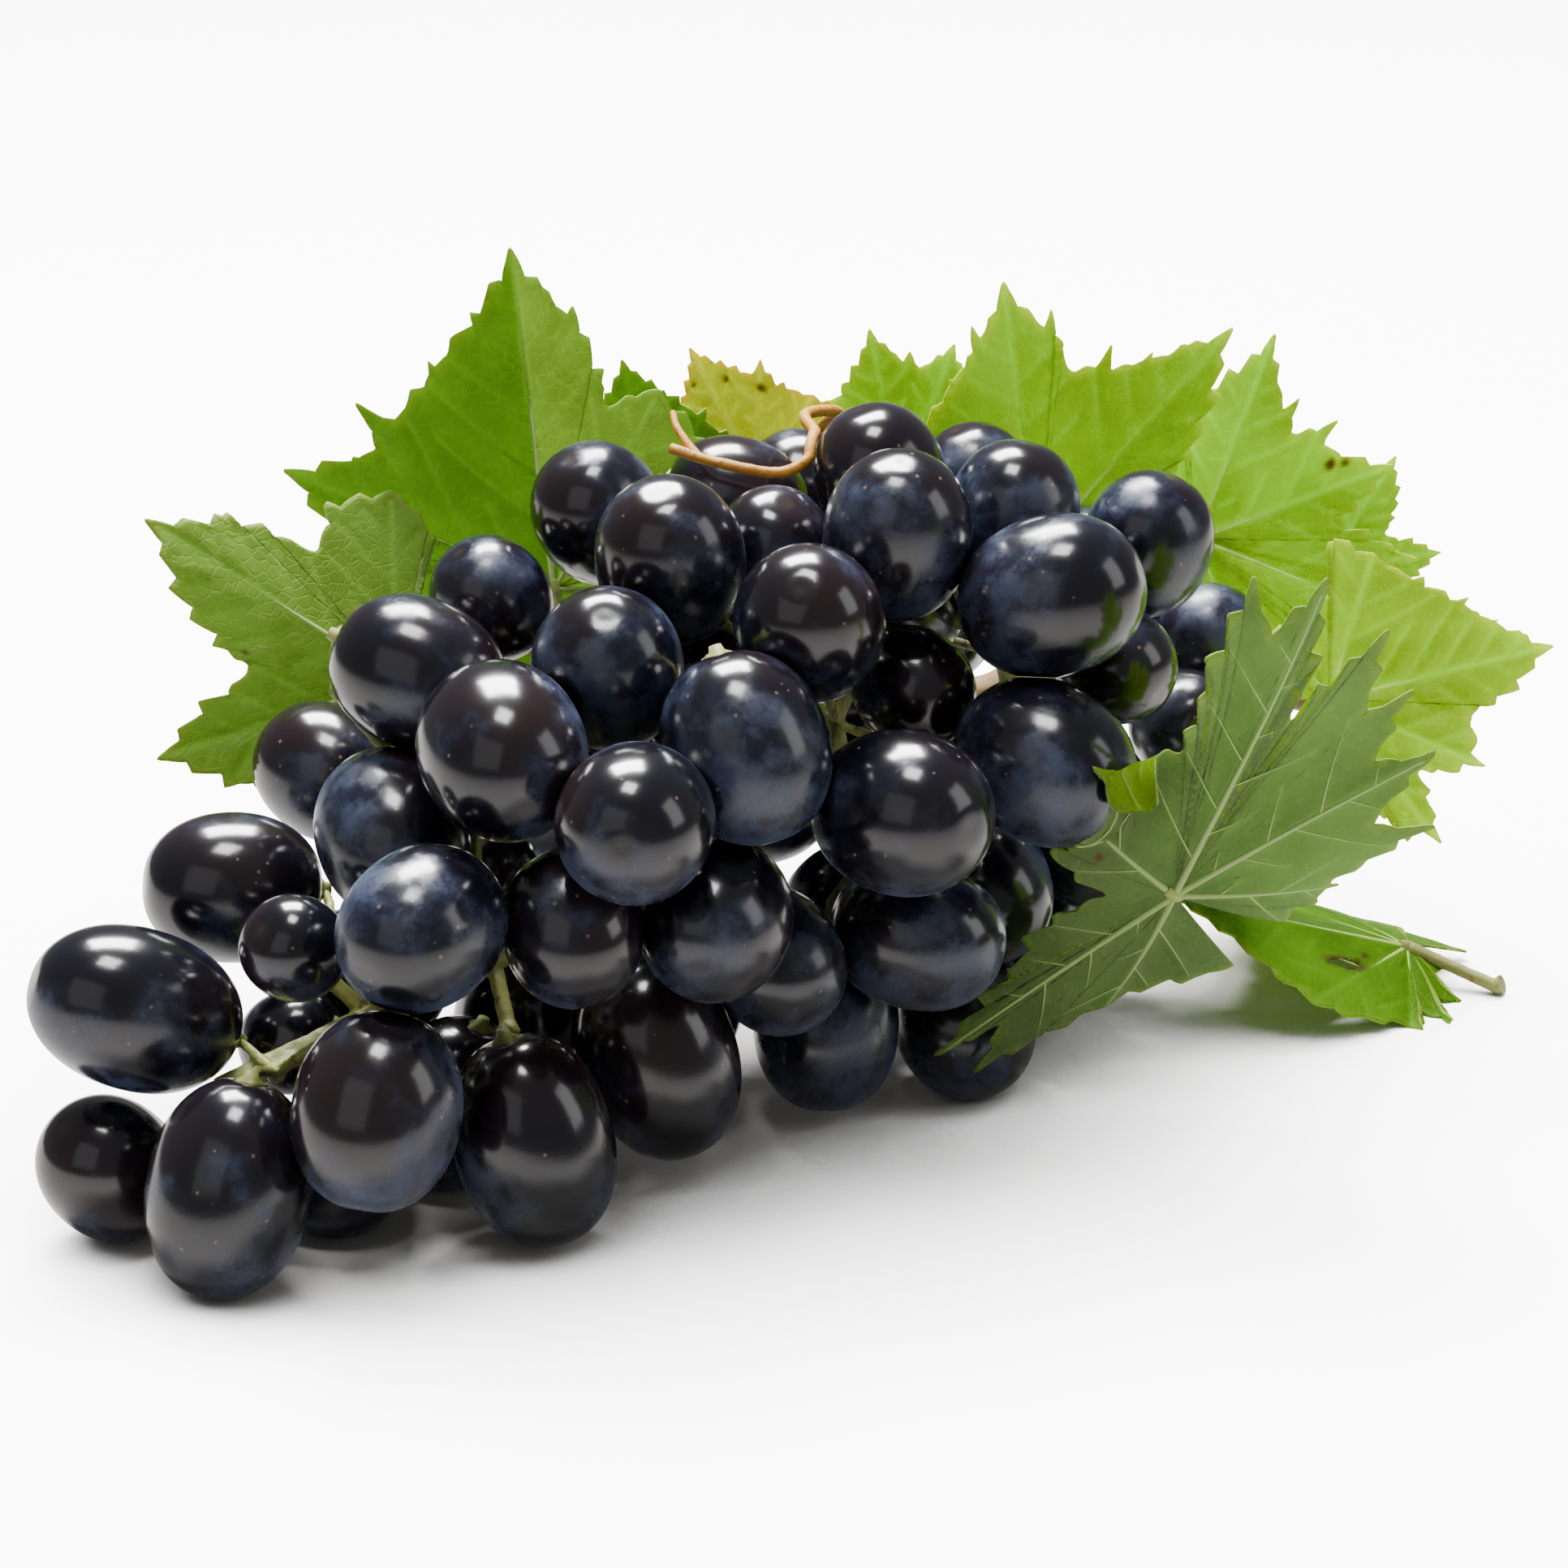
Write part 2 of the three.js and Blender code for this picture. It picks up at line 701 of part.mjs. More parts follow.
// The place on the bent leaf of a point that lies at an angle and a distance from the joint on the flat leaf.
function onLeaf(leaf, angle, distance) {
  const { ahead, left, face, length } = leafFrame(leaf);
  const along = distance * Math.cos(radians(angle));
  const across = distance * Math.sin(radians(angle));
  const half = across > 0 ? 0 : 1;
  const bendCurve = radians(leaf.bend) / length;
  const cupCurve = radians(leaf.cup[half]) / length;
  const [sideways, lift] = curved(Math.abs(across), radians(leaf.fold[half]), cupCurve);
  const [forward, rise] = curved(along, 0, bendCurve);
  const ripple = leaf.wave * (distance / length) ** 2 * Math.sin(radians(angle * 5));
  const tilted = face.clone().multiplyScalar(Math.cos(bendCurve * along));
  tilted.addScaledVector(ahead, -Math.sin(bendCurve * along));
  const point = leaf.joint.clone().addScaledVector(ahead, forward).addScaledVector(face, rise);
  point.addScaledVector(left, Math.sign(across) * sideways).addScaledVector(tilted, lift + ripple);
  return point;
}

// Even steps round a leaf, the nearest one moved to the tip of each lobe.
function edgeAngles(leaf) {
  const count = Math.round((360 - 2 * notchHalf) / leafStep);
  const angles = [];
  for (let i = 0; i <= count; i++) angles.push(notchHalf - 180 + ((360 - 2 * notchHalf) * i) / count);
  const tips = [0];
  for (const lobe of leaf.leftLobes ?? vineLobes) tips.push(lobe.turn);
  for (const lobe of leaf.rightLobes ?? vineLobes) tips.push(-lobe.turn);
  for (const tip of tips) {
    const place = Math.round(((tip + 180 - notchHalf) / (360 - 2 * notchHalf)) * count);
    angles[place] = tip;
  }
  return angles;
}

const leafRings = [0.5, 1];
const leafClearance = leafThickness / 2 + 1.2; // from the berries, so that a leaf's flat faces clear them too

function leafBlade(leaf) {
  const { length } = leafFrame(leaf);
  const angles = edgeAngles(leaf);
  const middle = [onLeaf(leaf, 0, 0)];
  const normals = [leafFrame(leaf).face];
  for (const ring of leafRings) {
    for (const angle of angles) {
      const distance = edgeReach(leaf, angle) * length * ring;
      const here = onLeaf(leaf, angle, distance);
      const turnward = onLeaf(leaf, angle + 2, distance).sub(onLeaf(leaf, angle - 2, distance));
      const outward = onLeaf(leaf, angle, distance + 0.5).sub(onLeaf(leaf, angle, distance - 0.5));
      keepClear(here, leafClearance, allBerries);
      middle.push(here);
      normals.push(new THREE.Vector3().crossVectors(outward, turnward).normalize());
    }
  }
  const places = [];
  for (const side of [1, -1]) {
    middle.forEach((point, i) => {
      const skin = point.clone().addScaledVector(normals[i], (side * leafThickness) / 2);
      skin.z = Math.max(skin.z, side > 0 ? 0.6 : 0);
      places.push(skin.x, skin.y, skin.z);
    });
  }
  const count = angles.length;
  const bottom = middle.length;
  const triangles = [];
  const twoFaces = (a, b, c) => {
    triangles.push(a, b, c);
    triangles.push(bottom + a, bottom + c, bottom + b);
  };
  for (let i = 0; i + 1 < count; i++) {
    twoFaces(0, 1 + i, 2 + i);
    for (let ring = 1; ring < leafRings.length; ring++) {
      const inner = 1 + (ring - 1) * count + i;
      const outer = inner + count;
      twoFaces(inner, outer, outer + 1);
      twoFaces(inner, outer + 1, inner + 1);
    }
  }
  const outermost = 1 + (leafRings.length - 1) * count;
  const rim = [0];
  for (let ring = 0; ring < leafRings.length - 1; ring++) rim.push(1 + ring * count);
  for (let i = 0; i < count; i++) rim.push(outermost + i);
  for (let ring = leafRings.length - 2; ring >= 0; ring--) rim.push(ring * count + count);
  rim.forEach((here, i) => {
    const next = rim[(i + 1) % rim.length];
    triangles.push(here, bottom + here, bottom + next);
    triangles.push(here, bottom + next, next);
  });
  const geometry = new THREE.BufferGeometry();
  geometry.setAttribute("position", new THREE.Float32BufferAttribute(places, 3));
  geometry.setIndex(triangles);
  return geometry;
}

function shootSolid(extra) {
  return solidFrom(tube(piecesOf(shootLine, 0, 1, 12), shootRadius + extra, 8, 16));
}

// ---------------------------------------------------------------- stalks, shoot and tendril

const fatBerry = (one) => solidFrom(berryGeometry(one, singleDetail, contactGap));
const fatBerries = new Map(allBerries.map((one) => [one, fatBerry(one)]));

// A solid without the room that some berries need.
function clearedOf(solid, berries) {
  const box = solid.boundingBox();
  const near = berries.filter((one) => {
    const room = one.long + 1;
    const { x, y, z } = one.middle;
    const inX = x > box.min[0] - room && x < box.max[0] + room;
    const inY = y > box.min[1] - room && y < box.max[1] + room;
    return inX && inY && z > box.min[2] - room && z < box.max[2] + room;
  });
  return near.reduce((rest, one) => rest.subtract(fatBerries.get(one)), solid);
}

// The back berries hang in clusters, each with its own side branch; a cluster grew as one piece.
const clusterCuts = [0.3, 0.6]; // shares of the stalk where one cluster ends and the next begins

function clusterName(one) {
  const share = nearestShare(one.middle);
  const part = clusterCuts.filter((cut) => share > cut).length + 1;
  const height = one.middle.z > rachisLine.getPointAt(share).z ? "upper" : "lower";
  return `${height}_cluster_${part}`;
}

const clusterBerries = [...shadeBerries, ...backBerries];
const clusterGroups = groupsBy(clusterBerries, clusterName);

const clusterRootGap = peduncleRadius + contactGap + stalkEase; // a cluster's branch ends just off the stalk
const stemDepth = 2; // how far a cluster's stems reach into its berries
const clusterTubes = (branch, extra) => branchTubes(branch, extra, -stemDepth, clusterRootGap);

function clusterParts(berries) {
  const branch = branchTo(berries);
  const others = allBerries.filter((one) => !berries.includes(one));
  const stalk = clearedOf(joined(clusterTubes(branch, 0)), others);
  const fruit = joined(berries.map((one) => solidFrom(berryGeometry(one, clusterDetail, 0))));
  return { name: clusterName(berries[0]), branch, whole: stalk.add(fruit) };
}

const clusters = clusterGroups.map(clusterParts);
const clusterRoom = joined(clusters.flatMap(({ branch }) => clusterTubes(branch, contactGap)));

// The stalk of the whole bunch: the peduncle, the rachis and the side branches to the front berries.
// It has the cluster stalks' room and the berries' room cut out of it.
function stalkGroup(one) {
  const share = nearestShare(one.middle);
  const offset = one.middle.clone().sub(rachisLine.getPointAt(share));
  const level = offset.z > 12 ? "high" : offset.z < -12 ? "low" : "mid";
  return `${Math.round(share * 6)}_${level}`;
}

function bunchStalk() {
  const branches = groupsBy(frontBerries, stalkGroup).map(branchTo);
  const twigs = branches.flatMap((branch) => branchTubes(branch, 0, contactGap, 0));
  const peduncle = solidFrom(tube(piecesOf(rachisLine, 0, 0.4, 5), peduncleRadius, 7, 6));
  const rachis = solidFrom(tube(piecesOf(rachisLine, 0.37, 1, 6), rachisRadius, 6, 8));
  const whole = clearedOf(joined([peduncle, rachis, ...twigs]), allBerries);
  return biggestPiece(whole.subtract(clusterRoom).subtract(shootSolid(contactGap)));
}

function leafSolid(leaf) {
  const end = leaf.cutEnd ?? shootLine.getPointAt(leaf.grows);
  const { ahead } = leafFrame(leaf);
  const start = leaf.joint.clone().addScaledVector(ahead, 1.5);
  const way = wayThrough(leaf.joint, end, petioleRadius + contactGap, 8);
  const whole = joined([solidFrom(leafBlade(leaf)), solidFrom(tube([start, ...way], petioleRadius, 5, 8))]);
  return biggestPiece(clearedOf(whole.subtract(shootSolid(contactGap)).subtract(clusterRoom), allBerries));
}

// The tendril leaves the shoot behind the bunch, climbs over its crest and ends in a small fork.
const tendrilRoute = [
  at(6, 76, 44),
  at(6, 66, 62),
  at(5, 62, 84),
  at(8, 46, 93),
  at(3, 34, 96),
  at(5, 26, 94),
  at(0, 22, 91),
  at(-9, 23, 92),
  at(-16, 27, 93),
];
const tendrilForkRoute = [at(-12, 25, 92), at(-15, 29, 95), at(-16, 32, 97)];

function tendrilSolid() {
  const wire = (route, steps) => {
    const line = new THREE.CatmullRomCurve3(route);
    const points = piecesOf(line, 0, 1, steps);
    for (const point of points) keepClear(point, tendrilRadius + contactGap + 0.4, allBerries);
    return solidFrom(tube(points, tendrilRadius, 5, steps + 4));
  };
  return joined([wire(tendrilRoute, 22), wire(tendrilForkRoute, 3)]).subtract(shootSolid(contactGap));
}

// ---------------------------------------------------------------- the whole bunch

const skin = { color: 0x262a3d, roughness: 0.42, metalness: 0 };
const greenWood = { color: 0x8a9a4a, roughness: 0.7, metalness: 0 };
const brownWood = { color: 0x8a6a44, roughness: 0.8, metalness: 0 };
const tan = { color: 0xc98a4a, roughness: 0.6, metalness: 0 };
const blade = { color: 0x6a9a2c, roughness: 0.55, metalness: 0 };

const bunch = new THREE.Group();

function add(name, geometry, finish) {
  const mesh = new THREE.Mesh(geometry, new THREE.MeshStandardMaterial(finish));
  mesh.name = name;
  bunch.add(mesh);
}

for (const one of frontBerries) add(one.name, berryGeometry(one, singleDetail, 0), skin);
for (const { name, whole } of clusters) add(name, geometryFrom(whole), skin);
add("stalk", geometryFrom(bunchStalk()), greenWood);
add("shoot", geometryFrom(shootSolid(0)), brownWood);
add("tendril", geometryFrom(biggestPiece(tendrilSolid())), tan);
for (const [name, leaf] of Object.entries(leaves)) add(name, geometryFrom(leafSolid(leaf)), blade);

// The origin is under the middle of the whole piece, on the table.
const box = new THREE.Box3().setFromObject(bunch);
const middle = box.getCenter(new THREE.Vector3());
bunch.position.set(-middle.x, -middle.y, -box.min.z);

const part = new THREE.Group();
part.add(bunch);
export default part;
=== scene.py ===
# %% [markdown]
# # A bunch of grapes, lying down
# A bunch of blue-black table grapes lies on a pale table, with its own vine leaves standing behind it.
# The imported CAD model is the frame: every berry, stalk and leaf here sits where its CAD solid sits.
# Blender adds what the eye needs: the waxy bloom on the skins, the flats where berries touch,
# the teeth and veins of the leaves, and a fine surface on the stalks.

# %% Load the frame
import math

import bmesh
import bpy
import numpy as np
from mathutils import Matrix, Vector


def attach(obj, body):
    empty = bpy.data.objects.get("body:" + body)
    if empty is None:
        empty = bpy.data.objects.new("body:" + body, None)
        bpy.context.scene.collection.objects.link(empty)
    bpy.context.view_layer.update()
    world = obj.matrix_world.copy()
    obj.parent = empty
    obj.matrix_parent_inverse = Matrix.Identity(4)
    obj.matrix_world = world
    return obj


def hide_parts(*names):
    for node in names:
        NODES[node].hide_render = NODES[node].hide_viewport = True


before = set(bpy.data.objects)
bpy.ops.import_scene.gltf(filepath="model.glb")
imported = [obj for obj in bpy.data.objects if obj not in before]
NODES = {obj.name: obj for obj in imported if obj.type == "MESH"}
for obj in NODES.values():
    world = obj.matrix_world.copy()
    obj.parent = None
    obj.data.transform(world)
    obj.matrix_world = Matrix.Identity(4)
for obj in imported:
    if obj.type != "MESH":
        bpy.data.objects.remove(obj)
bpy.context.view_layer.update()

MM = 0.001

# %% [markdown]
# ## Where things are
# The CAD part was drawn round the stalk and then moved so that its origin is under its middle.
# A few lines are drawn again here, such as the shoot and the tendril. To land on their solids they need
# the same move, which is read off the frame: the shoot's first end is where the drawing starts it.

# %% The drawing's place in the frame
SHOOT_POINTS = [(-44, 50, 34), (-12, 66, 42), (24, 80, 37), (58, 84, 41), (88, 80, 37)]
SHOOT_RADIUS = 3.2 * MM
ACROSS_END_RING = 2.06 * SHOOT_RADIUS
SAME_CORNER = 0.002 * MM


def corners_of(node):
    """A CAD node's corners, each only once, and its triangles, as arrays."""
    copy = bmesh.new()
    copy.from_mesh(NODES[node].data)
    bmesh.ops.remove_doubles(copy, verts=copy.verts, dist=SAME_CORNER)
    bmesh.ops.triangulate(copy, faces=copy.faces)
    places = np.array([v.co for v in copy.verts])
    triangles = np.array([[v.index for v in f.verts] for f in copy.faces])
    copy.free()
    return places, triangles


def drawing_shift():
    places, _ = corners_of("shoot")
    first = places[places[:, 0].argmin()]
    end_ring = places[np.linalg.norm(places - first, axis=1) < ACROSS_END_RING]
    return end_ring.mean(axis=0) - np.array(SHOOT_POINTS[0]) * MM


SHIFT = drawing_shift()
print("shift in mm:", (SHIFT / MM).round(2))


def spot(x, y, z):
    """A point of the drawing, in mm, as a place in the frame, in metres."""
    return np.array((x, y, z)) * MM + SHIFT


# %% [markdown]
# ## The camera
# The bunch is seen from the front and a little above, from more than half a metre away, so the
# perspective is mild. The camera comes first, because every later choice is judged through it.

# %% Camera
CAMERA_FAR = 650 * MM
CAMERA_RISE = math.radians(20)
LENS = 106.6


def make_camera():
    camera = bpy.data.objects.new("camera", bpy.data.cameras.new("camera"))
    camera.data.lens = LENS
    target = Vector(spot(0, 0, 52))
    back = Vector((0, -math.cos(CAMERA_RISE), math.sin(CAMERA_RISE)))
    camera.location = target + back * CAMERA_FAR
    camera.rotation_euler = back.to_track_quat("Z", "Y").to_euler()
    bpy.context.scene.collection.objects.link(camera)
    bpy.context.scene.camera = camera
    return camera


print("camera at", [round(c, 3) for c in make_camera().location])

# %% [markdown]
# ## Light
# The light is a bright white studio: a large soft box above and behind the bunch makes the leaves glow
# and the shadows fall toward the viewer. A small one above gives each berry its highlight, two weak ones
# open the dark skins, and white surroundings fill the rest.

# %% Lights and surroundings
AIM = (0, 0, 50)
SKY_LIGHT = 0.24
SKY_SEEN = 8


def soft_box(name, place, size, watts):
    light = bpy.data.lights.new(name, "AREA")
    light.shape = "RECTANGLE"
    light.size, light.size_y = size
    light.energy = watts
    lamp = bpy.data.objects.new(name, light)
    lamp.location = place
    away = Vector(place) - Vector(spot(*AIM))
    lamp.rotation_euler = away.to_track_quat("Z", "Y").to_euler()
    bpy.context.scene.collection.objects.link(lamp)


def surroundings(light, backdrop):
    """A white studio that is bright as a backdrop and dimmer as a source of light."""
    world = bpy.data.worlds.new("white studio")
    world.use_nodes = True
    tree = world.node_tree
    background = tree.nodes["Background"]
    background.inputs["Color"].default_value = (1, 1, 1, 1)
    seen = tree.nodes.new("ShaderNodeLightPath").outputs["Is Camera Ray"]
    strength = tree.nodes.new("ShaderNodeMapRange")
    strength.inputs["To Min"].default_value = light
    strength.inputs["To Max"].default_value = backdrop
    tree.links.new(seen, strength.inputs["Value"])
    tree.links.new(strength.outputs["Result"], background.inputs["Strength"])
    bpy.context.scene.world = world


soft_box("key above and behind", (-0.10, 0.42, 0.80), (0.42, 0.30), 40)
soft_box("window above", (-0.05, -0.12, 0.85), (0.22, 0.22), 5)
soft_box("front fill", (-0.5, -0.9, 0.6), (0.8, 0.8), 1.1)
soft_box("right side", (0.9, -0.2, 0.5), (0.4, 0.6), 2)
surroundings(SKY_LIGHT, SKY_SEEN)

# %% [markdown]
# ## Small tools
# Materials are node trees. A small helper adds a node, sets its values and wires its inputs in one go,
# so that each finish below reads as a list of what it is made of.

# %% Node helpers


class Finish:
    """A material under construction."""

    def __init__(self, name):
        self.material = bpy.data.materials.new(name)
        self.material.use_nodes = True
        self.tree = self.material.node_tree
        self.surface = self.tree.nodes["Principled BSDF"]
        self.output = self.tree.nodes["Material Output"]

    def node(self, kind, settings=None, **inputs):
        made = self.tree.nodes.new(kind)
        for key, value in (settings or {}).items():
            setattr(made, key, value)
        for key, value in inputs.items():
            self.feed(made, key.replace("_", " "), value)
        return made

    def feed(self, node, socket, value):
        if isinstance(value, bpy.types.NodeSocket):
            self.tree.links.new(value, node.inputs[socket])
        else:
            node.inputs[socket].default_value = value

    def noise(self, scale, detail=3.0, roughness=0.5):
        made = self.node("ShaderNodeTexNoise", Scale=scale, Detail=detail, Roughness=roughness)
        self.feed(made, "Vector", self.places())
        return made.outputs["Fac"]

    def places(self):
        return self.node("ShaderNodeTexCoord").outputs["Object"]

    def attribute(self, name, out="Fac"):
        return self.node("ShaderNodeAttribute", {"attribute_name": name}).outputs[out]

    def ramp(self, value, low, high, start=0.0, end=1.0):
        made = self.node("ShaderNodeMapRange", {"interpolation_type": "SMOOTHSTEP"})
        self.feed(made, "Value", value)
        limits = {"From Min": low, "From Max": high, "To Min": start, "To Max": end}
        for socket, number in limits.items():
            made.inputs[socket].default_value = number
        return made.outputs["Result"]

    def maths(self, operation, first, second):
        made = self.node("ShaderNodeMath", {"operation": operation})
        self.feed(made, 0, first)
        self.feed(made, 1, second)
        return made.outputs[0]

    def mix(self, factor, first, second):
        made = self.node("ShaderNodeMix", {"data_type": "RGBA"})
        self.feed(made, 0, factor)
        self.feed(made, 6, first)
        self.feed(made, 7, second)
        return made.outputs[2]

    def bump(self, height, distance, strength=1.0):
        made = self.node("ShaderNodeBump", Strength=strength, Distance=distance, Height=height)
        self.feed(self.surface, "Normal", made.outputs["Normal"])
        return made.outputs["Normal"]


# %% Mesh helpers


def mesh_piece(name, places, faces, attributes=None):
    """A new object at the origin from arrays, with number attributes on its corners."""
    mesh = bpy.data.meshes.new(name)
    corners = [tuple(place) for place in places]
    mesh.from_pydata(corners, [], [tuple(int(i) for i in face) for face in faces])
    for key, values in (attributes or {}).items():
        values = np.asarray(values, dtype=np.float32)
        if values.ndim == 1:
            mesh.attributes.new(key, "FLOAT", "POINT").data.foreach_set("value", values)
        else:
            shade = np.ones((len(values), 4), dtype=np.float32)
            shade[:, :3] = values
            mesh.attributes.new(key, "FLOAT_COLOR", "POINT").data.foreach_set("color", shade.ravel())
    mesh.shade_smooth()
    piece = bpy.data.objects.new(name, mesh)
    bpy.context.scene.collection.objects.link(piece)
    return piece


def settled(piece):
    """The piece with its modifiers worked into its mesh."""
    bpy.context.view_layer.update()
    seen = piece.evaluated_get(bpy.context.evaluated_depsgraph_get())
    mesh = bpy.data.meshes.new_from_object(seen)
    piece.modifiers.clear()
    piece.data = mesh
    return piece


def stands_for(piece, nodes):
    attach(piece, "root")
    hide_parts(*nodes)
    return piece


# %% [markdown]
# ## Reading the berries off the frame
# Each berry's CAD solid is a coarse egg. Its two ends are the corners farthest from its middle, and its
# girth is its widest ring. The stem end is the one next to a stalk. A cluster's solid holds several
# berries and the twigs between them: a berry's facets are large and a twig's are small, so the large
# ones are picked out and grouped where they share corners.

# %% Find every berry
FRONT_RINGS, CLUSTER_RINGS = 7, 5
TWIG_FACET = 4.5 * MM * MM
FEWEST_FACETS = 24
WIDEST_CORNERS = 8


def widest_share(rings):
    """How wide a coarse egg's widest ring is, beside the true egg."""
    return math.sin(math.pi * (rings // 2) / rings)


def egg(middle, places, rings):
    away = places - middle
    far = np.linalg.norm(away, axis=1)
    axis = away[far.argmax()] / far.max()
    across = away - np.outer(away @ axis, axis)
    girth = np.linalg.norm(across, axis=1)
    widest = np.sort(girth)[-WIDEST_CORNERS:].mean() / widest_share(rings)
    return {"middle": middle, "axis": axis, "long": max(far.max(), widest * 1.01), "round": widest}


def facet_areas(places, triangles):
    a, b, c = (places[triangles[:, i]] for i in range(3))
    return np.linalg.norm(np.cross(b - a, c - a), axis=1) / 2


def groups_of(triangles):
    """Triangles that share corners, gathered by following each corner to its group's first one."""
    leader = {}

    def top(corner):
        while leader.setdefault(corner, corner) != corner:
            corner = leader[corner]
        return corner

    for a, b, c in triangles:
        leader[top(b)] = top(a)
        leader[top(c)] = top(a)
    gathered = {}
    for triangle in triangles:
        gathered.setdefault(top(triangle[0]), []).append(triangle)
    return [np.array(group) for group in gathered.values()]


def berries_of_cluster(node):
    places, triangles = corners_of(node)
    areas = facet_areas(places, triangles)
    found = []
    for group in groups_of(triangles[areas > TWIG_FACET]):
        if len(group) < FEWEST_FACETS:
            continue
        centres = places[group].mean(axis=1)
        middle = np.average(centres, axis=0, weights=facet_areas(places, group))
        found.append(egg(middle, places[np.unique(group)], CLUSTER_RINGS) | {"node": node})
    twigs = places[np.unique(triangles[areas <= TWIG_FACET])]
    return found, twigs


def turned_to_stem(berry, stems):
    """Points the axis from the stem end to the free end."""
    ends = [berry["middle"] + side * berry["long"] * berry["axis"] for side in (1, -1)]
    gaps = [np.linalg.norm(stems - end, axis=1).min() for end in ends]
    if gaps[0] < gaps[1]:
        berry["axis"] = -berry["axis"]
    return berry


def find_berries():
    stalk_places, _ = corners_of("stalk")
    found = []
    for node in sorted(NODES):
        if "_berry_" in node:
            places, _ = corners_of(node)
            single = egg(places.mean(axis=0), places, FRONT_RINGS) | {"node": node}
            found.append(turned_to_stem(single, stalk_places))
        elif "_cluster_" in node:
            clustered, twigs = berries_of_cluster(node)
            found += [turned_to_stem(one, twigs) for one in clustered]
    return found


BERRIES = find_berries()
MIDDLES = np.array([b["middle"] for b in BERRIES])
AXES = np.array([b["axis"] for b in BERRIES])
LONGS = np.array([b["long"] for b in BERRIES])
ROUNDS = np.array([b["round"] for b in BERRIES])
shortest, longest = (round(2 * length / MM, 1) for length in (LONGS.min(), LONGS.max()))
print("berries:", len(BERRIES), "from", shortest, "to", longest, "mm")

# %% [markdown]
# ## The skin's finish
# A grape skin is nearly black, and a thin wax bloom lies over it. Where the bloom is whole the berry is
# dull grey-blue; where another berry or a finger has rubbed it, the dark glossy skin shows. The bloom is
# mixed from noise at three scales, rubbed away at the touching flats, and has small tan specks.
# It is thinned toward each berry's top, as painted shade that darkens the tops, and it is painted
# paler blue at grazing angles, as a painted sheen.

# %% Skin material
DARK_SKIN = (0.0035, 0.0032, 0.0065, 1)
BROWN_SKIN = (0.0105, 0.0055, 0.0065, 1)
THIN_BLOOM = (0.014, 0.021, 0.050, 1)
THICK_BLOOM = (0.036, 0.048, 0.088, 1)
# Painted sheen: the pale blue that the bloom is painted where the skin turns away from the view.
PAINTED_SHEEN_BLUE = (0.085, 0.110, 0.190, 1)
SPECK_TAN = (0.20, 0.13, 0.075, 1)
SCAR_BROWN = (0.018, 0.011, 0.008, 1)
SPECK_SCALE = 300.0


def bloom_on(skin, patches, smears, grain):
    """Wax at each place: patchy, smeared, rubbed off where berries touch, thin on tops as painted shade."""
    # The attribute read here is a random tone per berry plus painted shade: less wax, so darker skin,
    # toward each top.
    whole = skin.maths("ADD", patches, skin.maths("MULTIPLY", skin.attribute("tone_and_top_shade"), 0.09))
    wax = skin.ramp(whole, 0.40, 0.64)
    wax = skin.maths("MULTIPLY", wax, skin.ramp(smears, 0.36, 0.56, 0.35, 1.0))
    wax = skin.maths("MULTIPLY", wax, skin.ramp(skin.attribute("touch"), 0.25, 0.75, 1.0, 0.08))
    return skin.maths("MULTIPLY", wax, skin.ramp(grain, 0.3, 0.7, 0.72, 1.0))


def specks_on(skin, smears):
    dots = skin.node("ShaderNodeTexVoronoi", Scale=SPECK_SCALE)
    skin.feed(dots, "Vector", skin.places())
    near = skin.ramp(dots.outputs["Distance"], 0.05, 0.11, 1.0, 0.0)
    return skin.maths("MULTIPLY", skin.maths("MULTIPLY", near, skin.ramp(smears, 0.42, 0.5)), 0.6)


def skin_finish():
    skin = Finish("grape skin")
    patches = skin.noise(75, 4, 0.55)
    smears = skin.noise(190, 5, 0.6)
    grain = skin.noise(1500, 3, 0.6)
    wax = bloom_on(skin, patches, smears, grain)
    under = skin.mix(skin.ramp(skin.noise(40, 2), 0.4, 0.65), DARK_SKIN, BROWN_SKIN)
    bloom = skin.mix(skin.ramp(smears, 0.35, 0.7), THIN_BLOOM, THICK_BLOOM)
    colour = skin.mix(wax, under, bloom)
    # Painted sheen: the bloom is painted paler blue at grazing angles, where the skin turns away from the
    # view.
    edge = skin.node("ShaderNodeLayerWeight", Blend=0.35).outputs["Facing"]
    pale = skin.maths("MULTIPLY", skin.ramp(edge, 0.35, 1.0), skin.maths("MULTIPLY", wax, 0.5))
    colour = skin.mix(pale, colour, PAINTED_SHEEN_BLUE)
    colour = skin.mix(specks_on(skin, smears), colour, SPECK_TAN)
    colour = skin.mix(skin.attribute("scar"), colour, SCAR_BROWN)
    skin.feed(skin.surface, "Base Color", colour)
    skin.feed(skin.surface, "Roughness", skin.ramp(wax, 0.0, 1.0, 0.17, 0.44))
    skin.surface.inputs["Specular IOR Level"].default_value = 0.5
    skin.surface.inputs["Coat Weight"].default_value = 0.16
    skin.surface.inputs["Coat Roughness"].default_value = 0.12
    height = skin.maths("ADD", skin.maths("MULTIPLY", patches, 0.6), skin.maths("MULTIPLY", grain, 0.1))
    skin.bump(height, 0.35 * MM, 0.25)
    return skin.material


SKIN = skin_finish()
print("made", SKIN.name)

# %% [markdown]
# ## Berries
# A berry is nearly an egg, a little fuller than one at its shoulders, dented where the stem goes in, with
# a small scar at its free end. Berries grow until they press on each other, so each is flat where it
# meets a neighbour: any corner past the plane halfway between two berries is brought back to that plane.
# Most berries also have a round rubbed spot at the free end, where they lay against a hand or a box.

